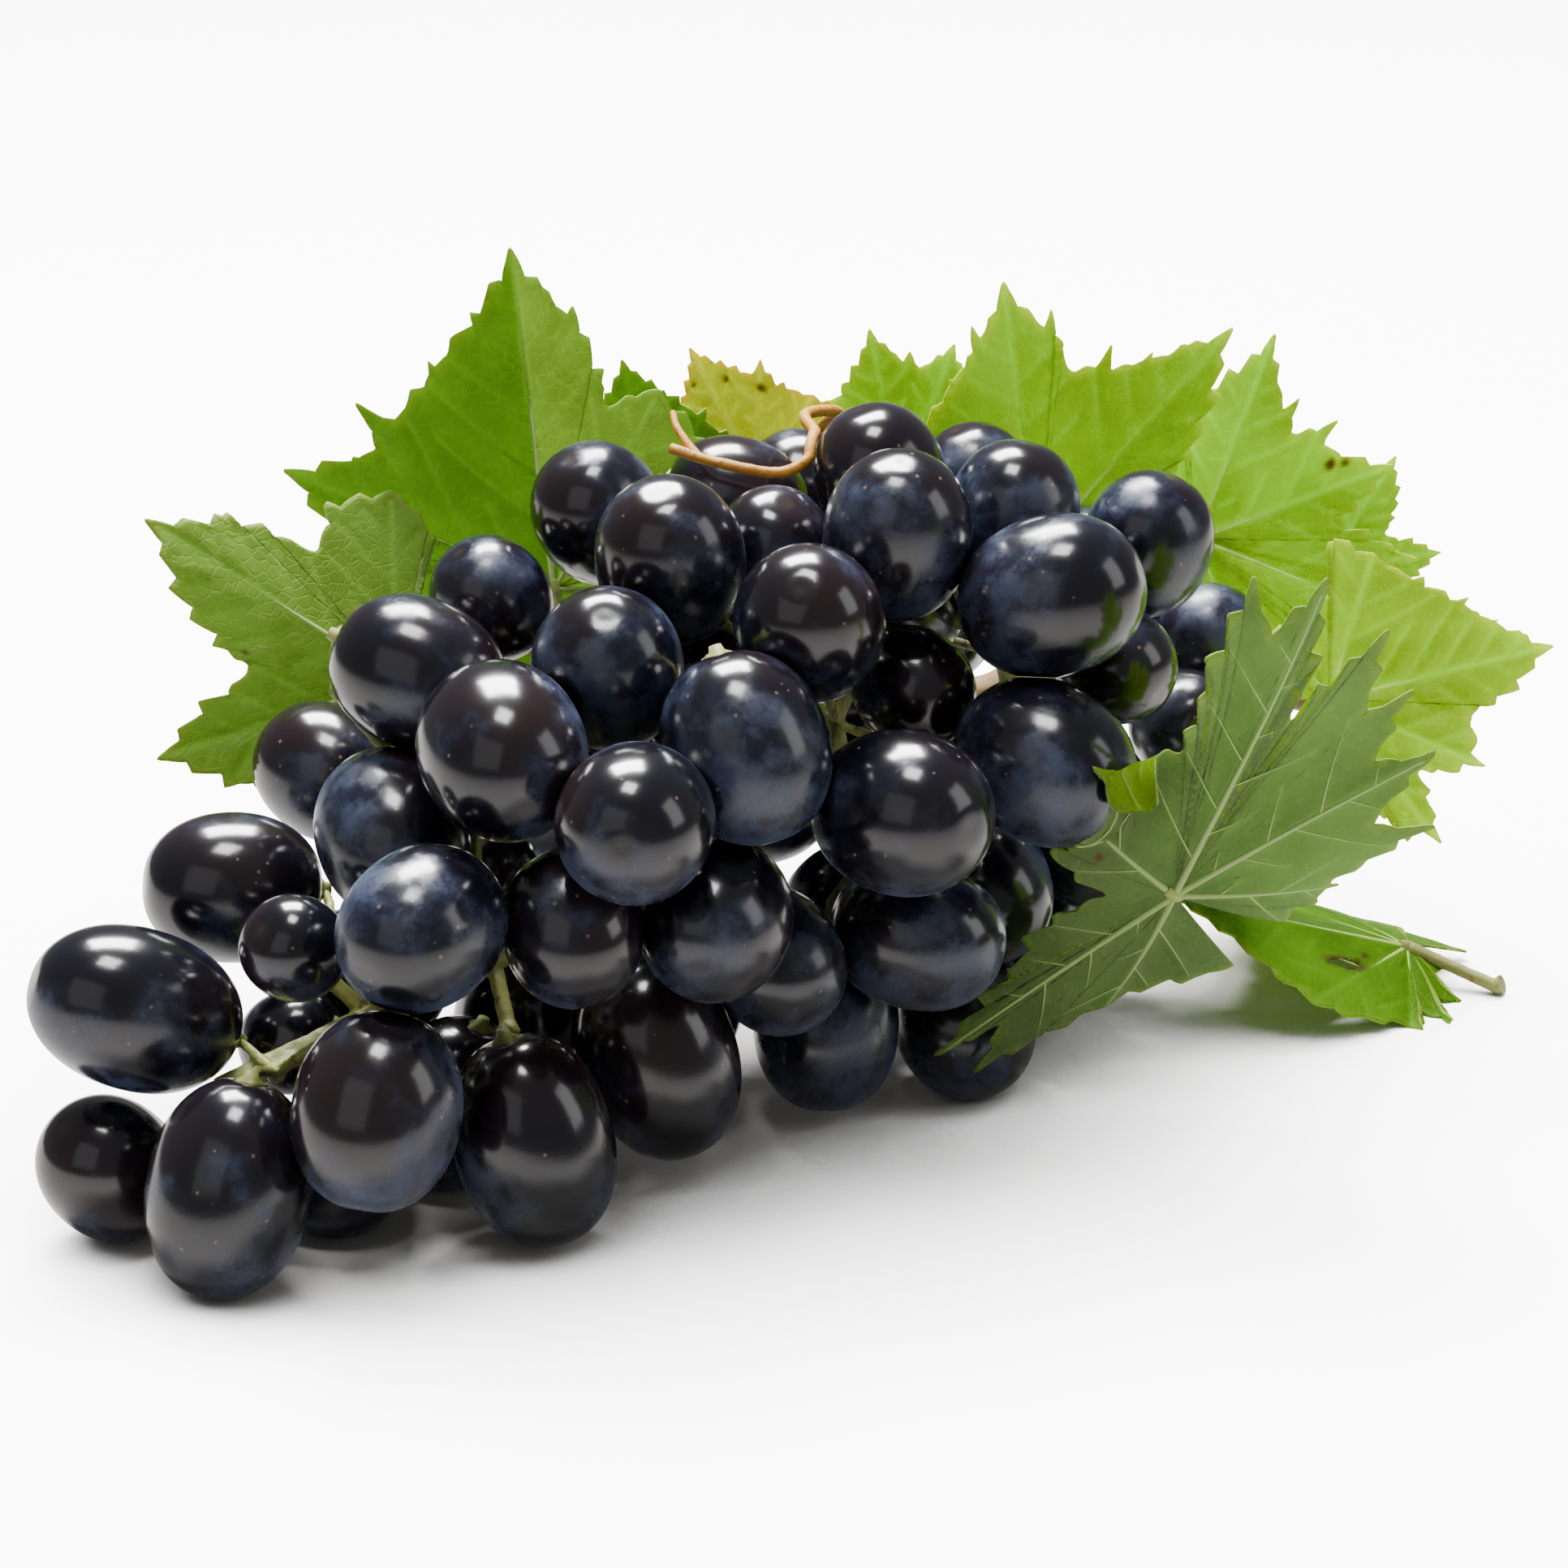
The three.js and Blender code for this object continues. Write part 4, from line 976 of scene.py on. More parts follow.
# %% The leaves' sizes and places
LOBE_TAPER = 1.15
VINE_LOBES = [(50, 0.86), (102, 0.64), (145, 0.44)]
VINE_BAYS = [(side * turn, 10, 0.25) for side in (1, -1) for turn in (27, 77, 124)]
NOTCH = 14
LEAVES = {
    "leaf_left": dict(
        joint=(-56, 28, 58), tip=(-90, 23, 83), face=(0.1, -1, 0.3), grows=0.02,
        left=VINE_LOBES, right=[(22, 0.5), (60, 0.4), (110, 0.3)], bays=VINE_BAYS,
        fold=(8, -25), cup=(10, 0), bend=-10, wave=1.2, look="mid",
    ),
    "leaf_tall_left": dict(
        joint=(-34, 43, 67), tip=(-40, 42, 117), face=(-0.2, -1, 0), grows=0.1,
        left=[(21, 0.76, 1.6), (40, 0.77, 1.6), (61, 0.85), (105, 0.5)],
        right=[(12, 0.84), (40, 0.6), (105, 0.45)], bays=[(84, 12, 0.3), (-26, 8, 0.2), (-75, 12, 0.3)],
        fold=(4, -42), cup=(0, 0), bend=-8, wave=1, look="folded",
    ),
    "leaf_small_dark": dict(
        joint=(-19, 60, 76), tip=(-24, 60, 97), face=(-0.3, -1, 0.1), grows=0.2,
        left=[(60, 0.5)], right=[(42, 0.72), (90, 0.6)],
        fold=(30, -10), cup=(0, -40), bend=0, wave=1, look="dark",
    ),
    "leaf_small_yellow": dict(
        joint=(-4, 67, 77), tip=(-14, 67, 97), face=(0.1, -1, 0.2), grows=0.34,
        left=[(45, 0.5), (100, 0.4)], right=[(28, 0.8), (60, 0.62), (110, 0.4)],
        fold=(10, 5), cup=(0, 0), bend=0, wave=0.8, look="yellow",
    ),
    "leaf_small_middle": dict(
        joint=(18, 75, 73), tip=(13, 74, 98), face=(0.1, -1, 0.1), grows=0.46,
        left=[(45, 0.5), (100, 0.4)], right=[(14, 0.86), (30, 0.95), (70, 0.6), (110, 0.4)],
        fold=(10, 12), cup=(0, 0), bend=0, wave=0.8, look="bright",
    ),
    "leaf_bright_left": dict(
        joint=(39, 72, 64), tip=(33, 70, 106), face=(0.1, -1, 0.1), grows=0.62,
        left=[(9, 0.9, 2), (19, 0.76, 2), (50, 0.6), (90, 0.45)],
        right=[(10, 0.9, 2), (26, 0.8, 2), (36, 0.84, 2), (47, 1.06, 1.5), (100, 0.5)],
        bays=[(-17, 4, 0.1), (-75, 14, 0.3)], fold=(12, 4), cup=(20, 0), bend=0, wave=1.4, look="bright",
    ),
    "leaf_bright_right": dict(
        joint=(64, 78, 64), tip=(93, 76, 76), face=(-0.1, -1, 0.2), grows=0.78,
        left=[(20, 0.88, 1.8), (34, 0.84, 1.8), (49, 1.05, 1.6), (100, 0.5)],
        right=[(26, 1.07, 1.8), (42, 1.3, 1.6), (90, 0.7)],
        bays=[(-14, 6, 0.15), (-33, 4, 0.12), (-68, 9, 0.25)],
        fold=(4, 8), cup=(0, 0), bend=-6, wave=1.4, look="bright",
    ),
    "leaf_bright_hind": dict(
        joint=(85, 85, 57), tip=(95, 85, 75), face=(0, -1, 0.1), grows=0.9,
        left=VINE_LOBES, right=VINE_LOBES, bays=VINE_BAYS,
        fold=(6, 6), cup=(0, 0), bend=0, wave=0.8, look="bright",
    ),
    "leaf_end": dict(
        joint=(81, 42, 50), tip=(113, 40, 59), face=(-0.1, -1, 0.4), grows=0.98,
        left=[(12, 0.82, 2), (23, 0.76, 1.6), (60, 0.6), (110, 0.4)],
        right=[(37, 0.74, 1.6), (66, 0.8, 1.6), (110, 0.5)], bays=[(-20, 7, 0.15), (-52, 6, 0.22)],
        fold=(10, 4), cup=(0, 10), bend=-4, wave=1.2, look="pale",
    ),
    "leaf_front": dict(
        joint=(54, -12, 40), tip=(38, -17, 54), face=(0.25, 1, -0.1), cut_end=(72, 12, 36),
        left=[(60, 2.4, 2.2), (69, 2.5, 2.4), (81, 2.3, 2), (93, 2, 2)]
        + [(105, 1.85, 2), (121, 1.62, 2), (143, 1.1, 2)],
        right=[(84, 2, 4), (93, 1.9, 2), (115, 1.1, 1.5)],
        bays=[(47, 9, 0.4), (75, 4, 0.25), (-45, 16, 0.5)],
        fold=(0, 8), cup=(-6, 4), bend=26, wave=1.2, look="front", rolled=(28, 32, 0.85, 3, 0.3),
    ),
    "leaf_low": dict(
        joint=(96, 53, 6), tip=(56, 34, 22), face=(0.1, -0.4, 1), cut_end=(110, 47, 1.5),
        left=[(16, 0.72), (34, 0.4), (70, 0.2)], right=[(20, 0.8), (45, 0.6), (90, 0.4)],
        bays=[(70, 26, 0.4)],
        fold=(-2, -25), cup=(-12, -15), bend=0, wave=0.8, look="low", hole=(15, 7, 0.9, 2.6),
    ),
}

# %% The bent surface of a leaf


def turned_arc(length, start, curve):
    """How far along and how high an arc of a given length ends, if it sets off at an angle."""
    end = start + curve * length
    straight = np.abs(curve) < 1e-6
    safe = np.where(straight, 1.0, curve)
    out = np.where(straight, length * np.cos(start), (np.sin(end) - np.sin(start)) / safe)
    rise = np.where(straight, length * np.sin(start), (np.cos(start) - np.cos(end)) / safe)
    return out, rise


def leaf_frame(leaf):
    joint = spot(*leaf["joint"])
    ahead = spot(*leaf["tip"]) - joint
    length = np.linalg.norm(ahead)
    ahead = ahead / length
    left = np.cross(leaf["face"], ahead)
    left /= np.linalg.norm(left)
    return joint, ahead, left, np.cross(ahead, left), length


def rolled_over(leaf, flat, length):
    """Rolls a stretch of the rim over toward the underside, most in its middle."""
    onward, across = flat[:, 0], flat[:, 1]
    if "rolled" not in leaf:
        return onward, across, np.zeros(len(flat))
    middle, half, start, radius, _ = leaf["rolled"]
    turn = np.degrees(np.arctan2(across, onward))
    tight = np.cos(np.clip((turn - middle) / half, -1, 1) * np.pi / 2) ** 2 / (radius * MM) + 1e-6
    reach = np.maximum(np.hypot(onward, across), 1e-9)
    extra = np.maximum(reach - start * length, 0)
    shorter = (reach - extra + np.sin(tight * extra) / tight) / reach
    return onward * shorter, across * shorter, (np.cos(tight * extra) - 1) / tight


def on_leaf(leaf, flat):
    """Flat points (along the midrib, to its left) placed on the leaf's folded and bent surface."""
    joint, ahead, left, face, length = leaf_frame(leaf)
    onward, across, dip = rolled_over(leaf, flat, length)
    half = (across <= 0).astype(int)
    fold = np.radians(leaf["fold"])[half]
    cup = np.radians(leaf["cup"])[half] / length
    bend = math.radians(leaf["bend"]) / length
    sideways, lift = turned_arc(np.abs(across), fold, cup)
    forward, rise = turned_arc(onward, np.zeros_like(onward), np.full_like(onward, bend))
    reach = np.hypot(onward, across)
    ripple = leaf["wave"] * MM * (reach / length) ** 2 * np.sin(5 * np.arctan2(across, onward))
    tilted = np.outer(np.cos(bend * onward), face) - np.outer(np.sin(bend * onward), ahead)
    places = joint + np.outer(forward, ahead) + np.outer(rise, face)
    places += np.outer(np.sign(across) * sideways, left)
    return places + tilted * (lift + ripple + dip)[:, None]


# %% The outline of a leaf
TOOTH_PITCH = 0.115
TOOTH_DEPTH = 0.055
TOOTH_LEAN = 0.7
TIP_LEAN = 3
TOOTH_INSET = 0.3
SMALLEST_TOOTH = 0.3
TOOTH_SIZES = [1.0, 0.5, 0.85, 0.6, 0.95, 0.45]
LONG_SIDE = 0.66
EDGE_STEPS = 720
TIP_SHARPNESS = 0.45
TIP_WIDTH = 9.0
SHORTEST_REACH = 0.12
WIDEST_LOBE = 75


def leaf_size(leaf):
    """How far the leaf's longest lobe reaches from its joint."""
    return leaf_frame(leaf)[4] * max(reach for _, reach in lobe_tips(leaf))


def lobe_reach(lobe, turn):
    """A lobe's straight sides as a reach at each turn, hollowed a little next to its tip."""
    taper = lobe[2] if len(lobe) > 2 else LOBE_TAPER
    away = np.abs(turn - lobe[0])
    narrow = taper * (1 + TIP_SHARPNESS * np.exp(-away / TIP_WIDTH))
    side = np.cos(np.radians(away)) + narrow * np.sin(np.radians(away))
    return np.where(away > WIDEST_LOBE, 0, lobe[1] / side)


def bare_reach(leaf, angle):
    """How far the toothless edge is from the joint, for a midrib of 1, with bays between lobes."""
    turn = np.abs(angle)
    edges = []
    for sign, key in ((1, "left"), (-1, "right")):
        lobes = [(0, 1.0), *leaf[key]]
        on_side = angle * sign >= 0
        reaches = np.max([lobe_reach(lobe, turn) for lobe in lobes], axis=0)
        edges.append(np.where(on_side, reaches, 0))
    reach = np.max(edges, axis=0)
    for middle, width, depth in leaf.get("bays", []):
        reach = reach * (1 - depth * np.exp(-(((angle - middle) / width) ** 2)))
    if "rolled" in leaf:
        middle, half, _, _, extra = leaf["rolled"]
        reach = reach + extra * np.cos(np.clip((angle - middle) / half, -1, 1) * np.pi / 2) ** 2
    return np.maximum(SHORTEST_REACH, reach)


def lobe_tips(leaf):
    tips = [(0.0, 1.0)]
    tips += [(lobe[0], lobe[1]) for lobe in leaf["left"]]
    tips += [(-lobe[0], lobe[1]) for lobe in leaf["right"]]
    return tips


def edge_line(leaf):
    """The toothless edge: flat points, how far along it each one is, and the tips and the bays too."""
    length = leaf_frame(leaf)[4]
    angle = np.linspace(NOTCH - 180, 180 - NOTCH, 4000)
    reach = bare_reach(leaf, angle) * length
    edge = np.column_stack([reach * np.cos(np.radians(angle)), reach * np.sin(np.radians(angle))])
    gone = np.concatenate([[0], np.cumsum(np.linalg.norm(np.diff(edge, axis=0), axis=1))])
    wanted = np.linspace(0, gone[-1], EDGE_STEPS)
    tips = np.interp([turn for turn, _ in lobe_tips(leaf)], angle, gone)
    wanted[np.abs(wanted[:, None] - tips).argmin(axis=0)] = tips
    wanted.sort()
    flat = np.column_stack([np.interp(wanted, gone, edge[:, k]) for k in range(2)])
    lowest = np.flatnonzero((reach[1:-1] < reach[:-2]) & (reach[1:-1] <= reach[2:])) + 1
    bays = np.concatenate([gone[lowest], [0.0, gone[-1]]])
    return flat, wanted, tips, bays


def tooth_directions(flat, ways, lean):
    """Straight out from the edge, leaning toward the lobes' tips."""
    out = np.gradient(flat, axis=0)
    out = np.column_stack([out[:, 1], -out[:, 0]])
    out /= np.maximum(np.linalg.norm(out, axis=1), 1e-9)[:, None]
    out += ways * lean[:, None]
    return out / np.linalg.norm(out, axis=1)[:, None]


def leaf_outline(leaf, chance):
    """The toothed edge as flat points, in the order of their angle, and how toothed each one is."""
    flat, wanted, tips, bays = edge_line(leaf)
    gaps = np.abs(wanted[:, None] - tips[None, :])
    from_tip, nearest = gaps.min(axis=1), gaps.argmin(axis=1)
    from_bay = np.abs(wanted[:, None] - bays[None, :]).min(axis=1)
    pitch = TOOTH_PITCH * leaf_size(leaf) * chance.uniform(0.9, 1.1)
    turns = from_tip / pitch
    step = turns - np.floor(turns)
    tooth = np.where(step < LONG_SIDE, 1 - step / LONG_SIDE, (step - LONG_SIDE) / (1 - LONG_SIDE))
    which = np.floor(turns + 1 - LONG_SIDE).astype(int) + 2 * nearest
    sizes = np.array(TOOTH_SIZES)[which % len(TOOTH_SIZES)]
    tip_turns = np.radians([turn for turn, _ in lobe_tips(leaf)])
    ways = np.column_stack([np.cos(tip_turns), np.sin(tip_turns)])[nearest]
    lean = TOOTH_LEAN + TIP_LEAN * np.exp(-((from_tip / (0.5 * pitch)) ** 2))
    depth = TOOTH_DEPTH * leaf_size(leaf) * sizes * np.clip(from_bay / pitch, SMALLEST_TOOTH, 1)
    depth *= np.interp(from_tip / pitch, [0.3, 0.9], [0.55, 1])
    moves = depth * (tooth - TOOTH_INSET)
    return flat + tooth_directions(flat, ways, lean) * moves[:, None], tooth


# %% The veins of a leaf
VEIN_SPACING = 0.155
VEIN_SLANT = 48
VEIN_APART = 24
VEIN_STEP = 0.9 * MM
VEIN_STEPS = 60
VEIN_CURVE = 0.35
EDGE_LEFT = 0.96


def veined_tips(leaf):
    """The longest lobes that are far enough apart to have a main vein each, in the order of their turn."""
    tips = []
    for turn, reach in sorted(lobe_tips(leaf), key=lambda tip: -tip[1]):
        if all(abs(turn - other) > VEIN_APART for other, _ in tips):
            tips.append((turn, reach))
    return sorted(tips)


def edge_at(leaf, turn):
    return float(bare_reach(leaf, np.array([turn]))[0]) * leaf_frame(leaf)[4]


def side_vein(leaf, start, angle, side, low, high):
    """A vein off a main one that curves toward its tip and stops at the edge or at the next lobe."""
    heading = angle + side * math.radians(VEIN_SLANT)
    line = [start]
    for step in range(VEIN_STEPS):
        bent = heading - side * math.radians(VEIN_CURVE * step)
        nxt = line[-1] + VEIN_STEP * np.array([math.cos(bent), math.sin(bent)])
        there = math.degrees(math.atan2(nxt[1], nxt[0]))
        if not low < there < high or np.hypot(*nxt) > EDGE_LEFT * edge_at(leaf, there):
            break
        line.append(nxt)
    return np.array(line)


def leaf_veins(leaf):
    """Main veins to the lobes' tips and side veins off them, as flat lines with a size from 0 to 1."""
    tips = veined_tips(leaf)
    spacing = VEIN_SPACING * leaf_size(leaf)
    bounds = [-180 + NOTCH, *[(a + b) / 2 for (a, _), (b, _) in zip(tips[:-1], tips[1:])], 180 - NOTCH]
    veins = []
    for number, (turn, reach) in enumerate(tips):
        angle = math.radians(turn)
        way = np.array([math.cos(angle), math.sin(angle)])
        far = edge_at(leaf, turn)
        veins.append((np.outer(np.linspace(0, 0.97 * far, 28), way), 0.55 + 0.45 * min(reach, 1.0), "main"))
        for k, start in enumerate(np.arange(0.75 * spacing, 0.93 * far, spacing / 2)):
            side = 1 if k % 2 else -1
            line = side_vein(leaf, way * start, angle, side, *bounds[number : number + 2])
            if len(line) > 3:
                veins.append((line, 0.34, "side"))
    return veins


def far_from_veins(flat, veins):
    """Each flat point's distance to the nearest main vein and to the nearest side vein."""
    near = {"main": np.full(len(flat), 1.0), "side": np.full(len(flat), 1.0)}
    for line, _, kind in veins:
        for a, b in zip(line[:-1], line[1:]):
            step = b - a
            share = np.clip(((flat - a) @ step) / max(step @ step, 1e-12), 0, 1)
            gap = np.linalg.norm(flat - a - share[:, None] * step, axis=1)
            near[kind] = np.minimum(near[kind], gap)
    return near["main"], near["side"]


# %% [markdown]
# ## Leaf finish
# Light passes through a vine leaf: with the light behind it, it glows yellow-green, and its veins show as
# a paler net. The upper side is greener and a little shiny, the underside pale, grey-green and dull.
# One folded leaf has the right half of its upper side painted paler, as painted light.

# %% Leaf materials
LOOKS = {
    "mid": dict(upper=(0.25, 0.42, 0.060), under=(0.36, 0.50, 0.14), edge=(0.38, 0.50, 0.08)),
    "dark": dict(upper=(0.14, 0.31, 0.006), under=(0.42, 0.58, 0.16), edge=(0.30, 0.46, 0.04)),
    "folded": dict(
        upper=(0.14, 0.31, 0.006),
        under=(0.42, 0.58, 0.16),
        edge=(0.30, 0.46, 0.04),
        # Painted light: the paler colour of the right half, for the light that half is turned to.
        painted_light_half=(0.36, 0.56, 0.07),
    ),
    "yellow": dict(upper=(0.66, 0.70, 0.004), under=(0.48, 0.56, 0.04), edge=(0.85, 0.62, 0.02)),
    "bright": dict(upper=(0.42, 0.72, 0.0), under=(0.44, 0.62, 0.02), edge=(0.66, 0.78, 0.02)),
    "pale": dict(upper=(0.55, 0.86, 0.002), under=(0.50, 0.66, 0.05), edge=(0.80, 0.90, 0.05)),
    "low": dict(upper=(0.16, 0.38, 0.004), under=(0.40, 0.58, 0.06), edge=(0.30, 0.52, 0.02)),
    "front": dict(upper=(0.36, 0.62, 0.01), under=(0.155, 0.25, 0.075), edge=(0.26, 0.38, 0.06)),
}


DRY_BROWN = (0.16, 0.075, 0.025, 1)
VEIN_BLOTCH = (0.34, 0.42, 0.12, 1)


def leaf_finish(name, tint, shine, glow):
    leaf = Finish(name)
    net = leaf.node("ShaderNodeTexVoronoi", {"feature": "DISTANCE_TO_EDGE"}, Scale=620.0)
    leaf.feed(net, "Vector", leaf.node("ShaderNodeUVMap", {"uv_map": "flat"}).outputs["UV"])
    mesh_lines = leaf.ramp(net.outputs["Distance"], 0.0, 0.10, 1.0, 0.0)
    patches = leaf.noise(60, 4, 0.6)
    fine = leaf.noise(900, 3, 0.6)
    base = leaf.attribute(tint, "Color")
    darker = leaf.node("ShaderNodeHueSaturation", Saturation=1.05, Value=0.78)
    leaf.feed(darker, "Color", base)
    colour = leaf.mix(leaf.ramp(patches, 0.35, 0.7), base, darker.outputs[0])
    leaf.surface.inputs["Specular IOR Level"].default_value = 0.25
    lighter = leaf.node("ShaderNodeHueSaturation", Saturation=0.97, Value=1.4)
    leaf.feed(lighter, "Color", base)
    colour = leaf.mix(leaf.maths("MULTIPLY", mesh_lines, 0.2), colour, lighter.outputs[0])
    veined = leaf.maths("MULTIPLY", leaf.attribute("vein"), 0.75)
    colour = leaf.mix(veined, colour, lighter.outputs[0])
    colour = leaf.mix(leaf.attribute("brown"), colour, DRY_BROWN)
    leaf.feed(leaf.surface, "Base Color", colour)
    leaf.feed(leaf.surface, "Roughness", leaf.ramp(fine, 0.2, 0.8, shine, shine + 0.15))
    sunk = leaf.maths("MULTIPLY", mesh_lines, -0.6)
    normal = leaf.bump(leaf.maths("ADD", sunk, leaf.maths("MULTIPLY", fine, 0.3)), 0.18 * MM, 0.5)
    through = leaf.node("ShaderNodeBsdfTranslucent")
    leaf.feed(through, "Color", colour)
    leaf.feed(through, "Normal", normal)
    both = leaf.node("ShaderNodeMixShader")
    leaf.feed(both, 0, glow)
    leaf.feed(both, 1, leaf.surface.outputs[0])
    leaf.feed(both, 2, through.outputs[0])
    leaf.tree.links.new(both.outputs[0], leaf.output.inputs["Surface"])
    return leaf.material


def vein_finish():
    vein = Finish("leaf vein")
    tint = vein.node("ShaderNodeHueSaturation", Saturation=0.85, Value=1.3)
    vein.feed(tint, "Color", vein.attribute("vein_tint", "Color"))
    blotch = vein.ramp(vein.noise(300, 3), 0.45, 0.7)
    colour = vein.mix(vein.maths("MULTIPLY", blotch, 0.5), tint.outputs[0], VEIN_BLOTCH)
    vein.feed(vein.surface, "Base Color", colour)
    vein.surface.inputs["Roughness"].default_value = 0.5
    return vein.material


LEAF_TOP = leaf_finish("leaf upper side", "upper", 0.42, 0.6)
LEAF_UNDER = leaf_finish("leaf underside", "under", 0.6, 0.35)
VEIN = vein_finish()
print("leaf finishes made")

# %% Browned spots
SPOT_HEART = 1.6
# Where a leaf has dried brown: how far along its midrib and to its left, for a midrib of 1, and the
# spot's width in mm.
BROWN_SPOTS = {
    "leaf_small_yellow": [(0.72, -0.12, 0.5), (0.55, -0.3, 0.6), (0.8, 0.1, 0.35)],
    "leaf_bright_right": [(0.74, 0.12, 0.7), (0.8, 0.1, 0.5)],
    "leaf_front": [(0.55, -0.12, 0.5)],
    "leaf_left": [(0.5, 0.2, 0.35)],
    "leaf_low": [(0.22, 0.1, 0.6)],
}


def browned(name, flat):
    """How brown each flat point is, from 0 to 1."""
    length = leaf_frame(LEAVES[name])[4]
    wobble = 1 + 0.35 * np.sin(flat[:, 0] / (0.5 * MM)) * np.sin(flat[:, 1] / (0.7 * MM))
    brown = np.zeros(len(flat))
    for onward, across, width in BROWN_SPOTS.get(name, []):
        gap = np.hypot(flat[:, 0] - onward * length, flat[:, 1] - across * length) * wobble
        brown = np.maximum(brown, np.clip(SPOT_HEART - gap / (width * MM), 0, 1))
    return brown


# %% Build the blades
BLADE_THICKNESS = 0.34 * MM
BLADE_RINGS = 26
PUCKER = 0.4 * MM
MAIN_GROOVE = 1.4 * MM
SIDE_GROOVE = 0.8 * MM
SWAY = 0.5 * MM
SWAY_ALONG, SWAY_ACROSS = 9 * MM, 8 * MM
LEAF_ROOM = 0.9 * MM
PUSH_ROUNDS = 7
RIM_STARTS = 0.93
MAIN_VEIN_WIDTH, SIDE_VEIN_WIDTH = 0.55 * MM, 0.4 * MM


def blade_grid(outline):
    """Rings of flat points out to the outline, the faces between them, and each point's way out."""
    rings = np.linspace(0, 1, BLADE_RINGS + 1)[1:] ** 0.85
    flat = np.vstack([[(0, 0)], *[outline * ring for ring in rings]])
    count = len(outline)
    faces = [(0, 1 + k, 2 + k) for k in range(count - 1)]
    for row in range(BLADE_RINGS - 1):
        here = 1 + row * count
        outer = here + count
        faces += [(here + k, outer + k, outer + k + 1, here + k + 1) for k in range(count - 1)]
    return flat, faces, np.concatenate([[0], np.repeat(rings, count)])


def placed_on(leaf, flat, lift):
    """Flat points on the leaf's surface, raised by a height."""
    _, ahead, _, face, length = leaf_frame(leaf)
    bent = math.radians(leaf["bend"]) / length * flat[:, 0]
    tilted = np.outer(np.cos(bent), face) - np.outer(np.sin(bent), ahead)
    return on_leaf(leaf, flat) + tilted * np.asarray(lift)[:, None]


def blade_lift(flat, main, side, chance):
    """How the blade puckers up between its veins, which lie in grooves."""
    hollow = 1 - np.exp(-((main / MAIN_GROOVE) ** 2))
    hollow *= 1 - 0.6 * np.exp(-((side / SIDE_GROOVE) ** 2))
    roll = chance.uniform(0, 6.28, 3)
    sway = np.sin(flat[:, 0] / SWAY_ALONG + roll[0]) * np.sin(flat[:, 1] / SWAY_ACROSS + roll[1])
    return PUCKER * hollow + SWAY * sway * hollow


NO_HOLE = 9.0


def from_hole(leaf, flat):
    """How far each flat point is from the leaf's torn hole, counted in the hole's own size."""
    if "hole" not in leaf:
        return np.full(len(flat), NO_HOLE)
    onward, across, half_width, half_length = (value * MM for value in leaf["hole"])
    return np.hypot((flat[:, 0] - onward) / half_length, (flat[:, 1] - across) / half_width)


def even_push(push, count):
    """Spreads the push of neighbouring points over each other, so that the blade bends without creases."""
    rows = push[1:].reshape(BLADE_RINGS, count, 3)
    for _ in range(PUSH_ROUNDS):
        rows = (np.roll(rows, 1, axis=1) + rows + np.roll(rows, -1, axis=1)) / 3
        beside = np.concatenate([rows[:1], rows, rows[-1:]])
        rows = (beside[:-2] + beside[1:-1] + beside[2:]) / 3
    return np.vstack([push[:1], rows.reshape(-1, 3)])


def blade_paint(name, flat, rim, main, side, torn, shade):
    """The numbers and colours that the leaf materials read at each point of a blade."""
    look = LOOKS[LEAVES[name]["look"]]
    main_veins = np.exp(-((main / MAIN_VEIN_WIDTH) ** 2))
    values = {"vein": np.maximum(main_veins, 0.6 * np.exp(-((side / SIDE_VEIN_WIDTH) ** 2)))}
    values["brown"] = np.maximum(browned(name, flat), np.clip(2.0 - torn, 0, 1))
    for key in ("upper", "under"):
        base, edge = np.array(look[key]) * shade, np.array(look["edge"])
        values[key] = base + np.outer(rim, edge - base)
    # Painted light: the right half of the blade takes the paler colour, for how that half is turned to the
    # light.
    if "painted_light_half" in look:
        right = np.clip(0.5 - flat[:, 1] / MM, 0, 1)[:, None]
        values["upper"] = values["upper"] * (1 - right) + np.array(look["painted_light_half"]) * right
    return values


def make_blade(name, leaf, veins, seed):
    chance = np.random.default_rng(seed)
    outline, tooth = leaf_outline(leaf, chance)
    flat, faces, share = blade_grid(outline)
    main, side = far_from_veins(flat, veins)
    lift = blade_lift(flat, main, side, chance)
    torn = from_hole(leaf, flat)
    faces = [face for face in faces if torn[list(face)].min() > 1]
    places = placed_on(leaf, flat, lift)
    places += even_push(keep_clear(places, LEAF_ROOM) - places, len(outline))
    teeth = np.concatenate([[0], np.tile(tooth, BLADE_RINGS)])
    rim = np.clip((share - RIM_STARTS) / (1 - RIM_STARTS), 0, 1) * (0.35 + 0.65 * teeth)
    shade = chance.uniform(0.92, 1.08)
    values = blade_paint(name, flat, rim, main, side, torn, shade)
    blade = mesh_piece(f"{name}_blade", places, faces, values)
    uv = blade.data.uv_layers.new(name="flat")
    corners = np.array([loop.vertex_index for loop in blade.data.loops])
    uv.data.foreach_set("uv", flat[corners].astype(np.float32).ravel())
    blade.data.materials.append(LEAF_TOP)
    blade.data.materials.append(LEAF_UNDER)
    thicken = blade.modifiers.new("thickness", "SOLIDIFY")
    thicken.thickness = BLADE_THICKNESS
    thicken.offset = 0
    thicken.material_offset = 1
    thicken.material_offset_rim = 1
    settled(blade)
    return stands_for(blade, [name])


# %% Build the veins and the leaf stalks
VEIN_RADII = {"main": 0.42 * MM, "side": 0.22 * MM}
VEIN_DEPTH = 0.16 * MM
VEIN_ROOT = 3 * MM
VEIN_END = 0.2
PETIOLE_RADIUS = 1.05 * MM
PETIOLE_ROOM = 1.45 * MM
PETIOLE_OVERLAP = 1.5 * MM
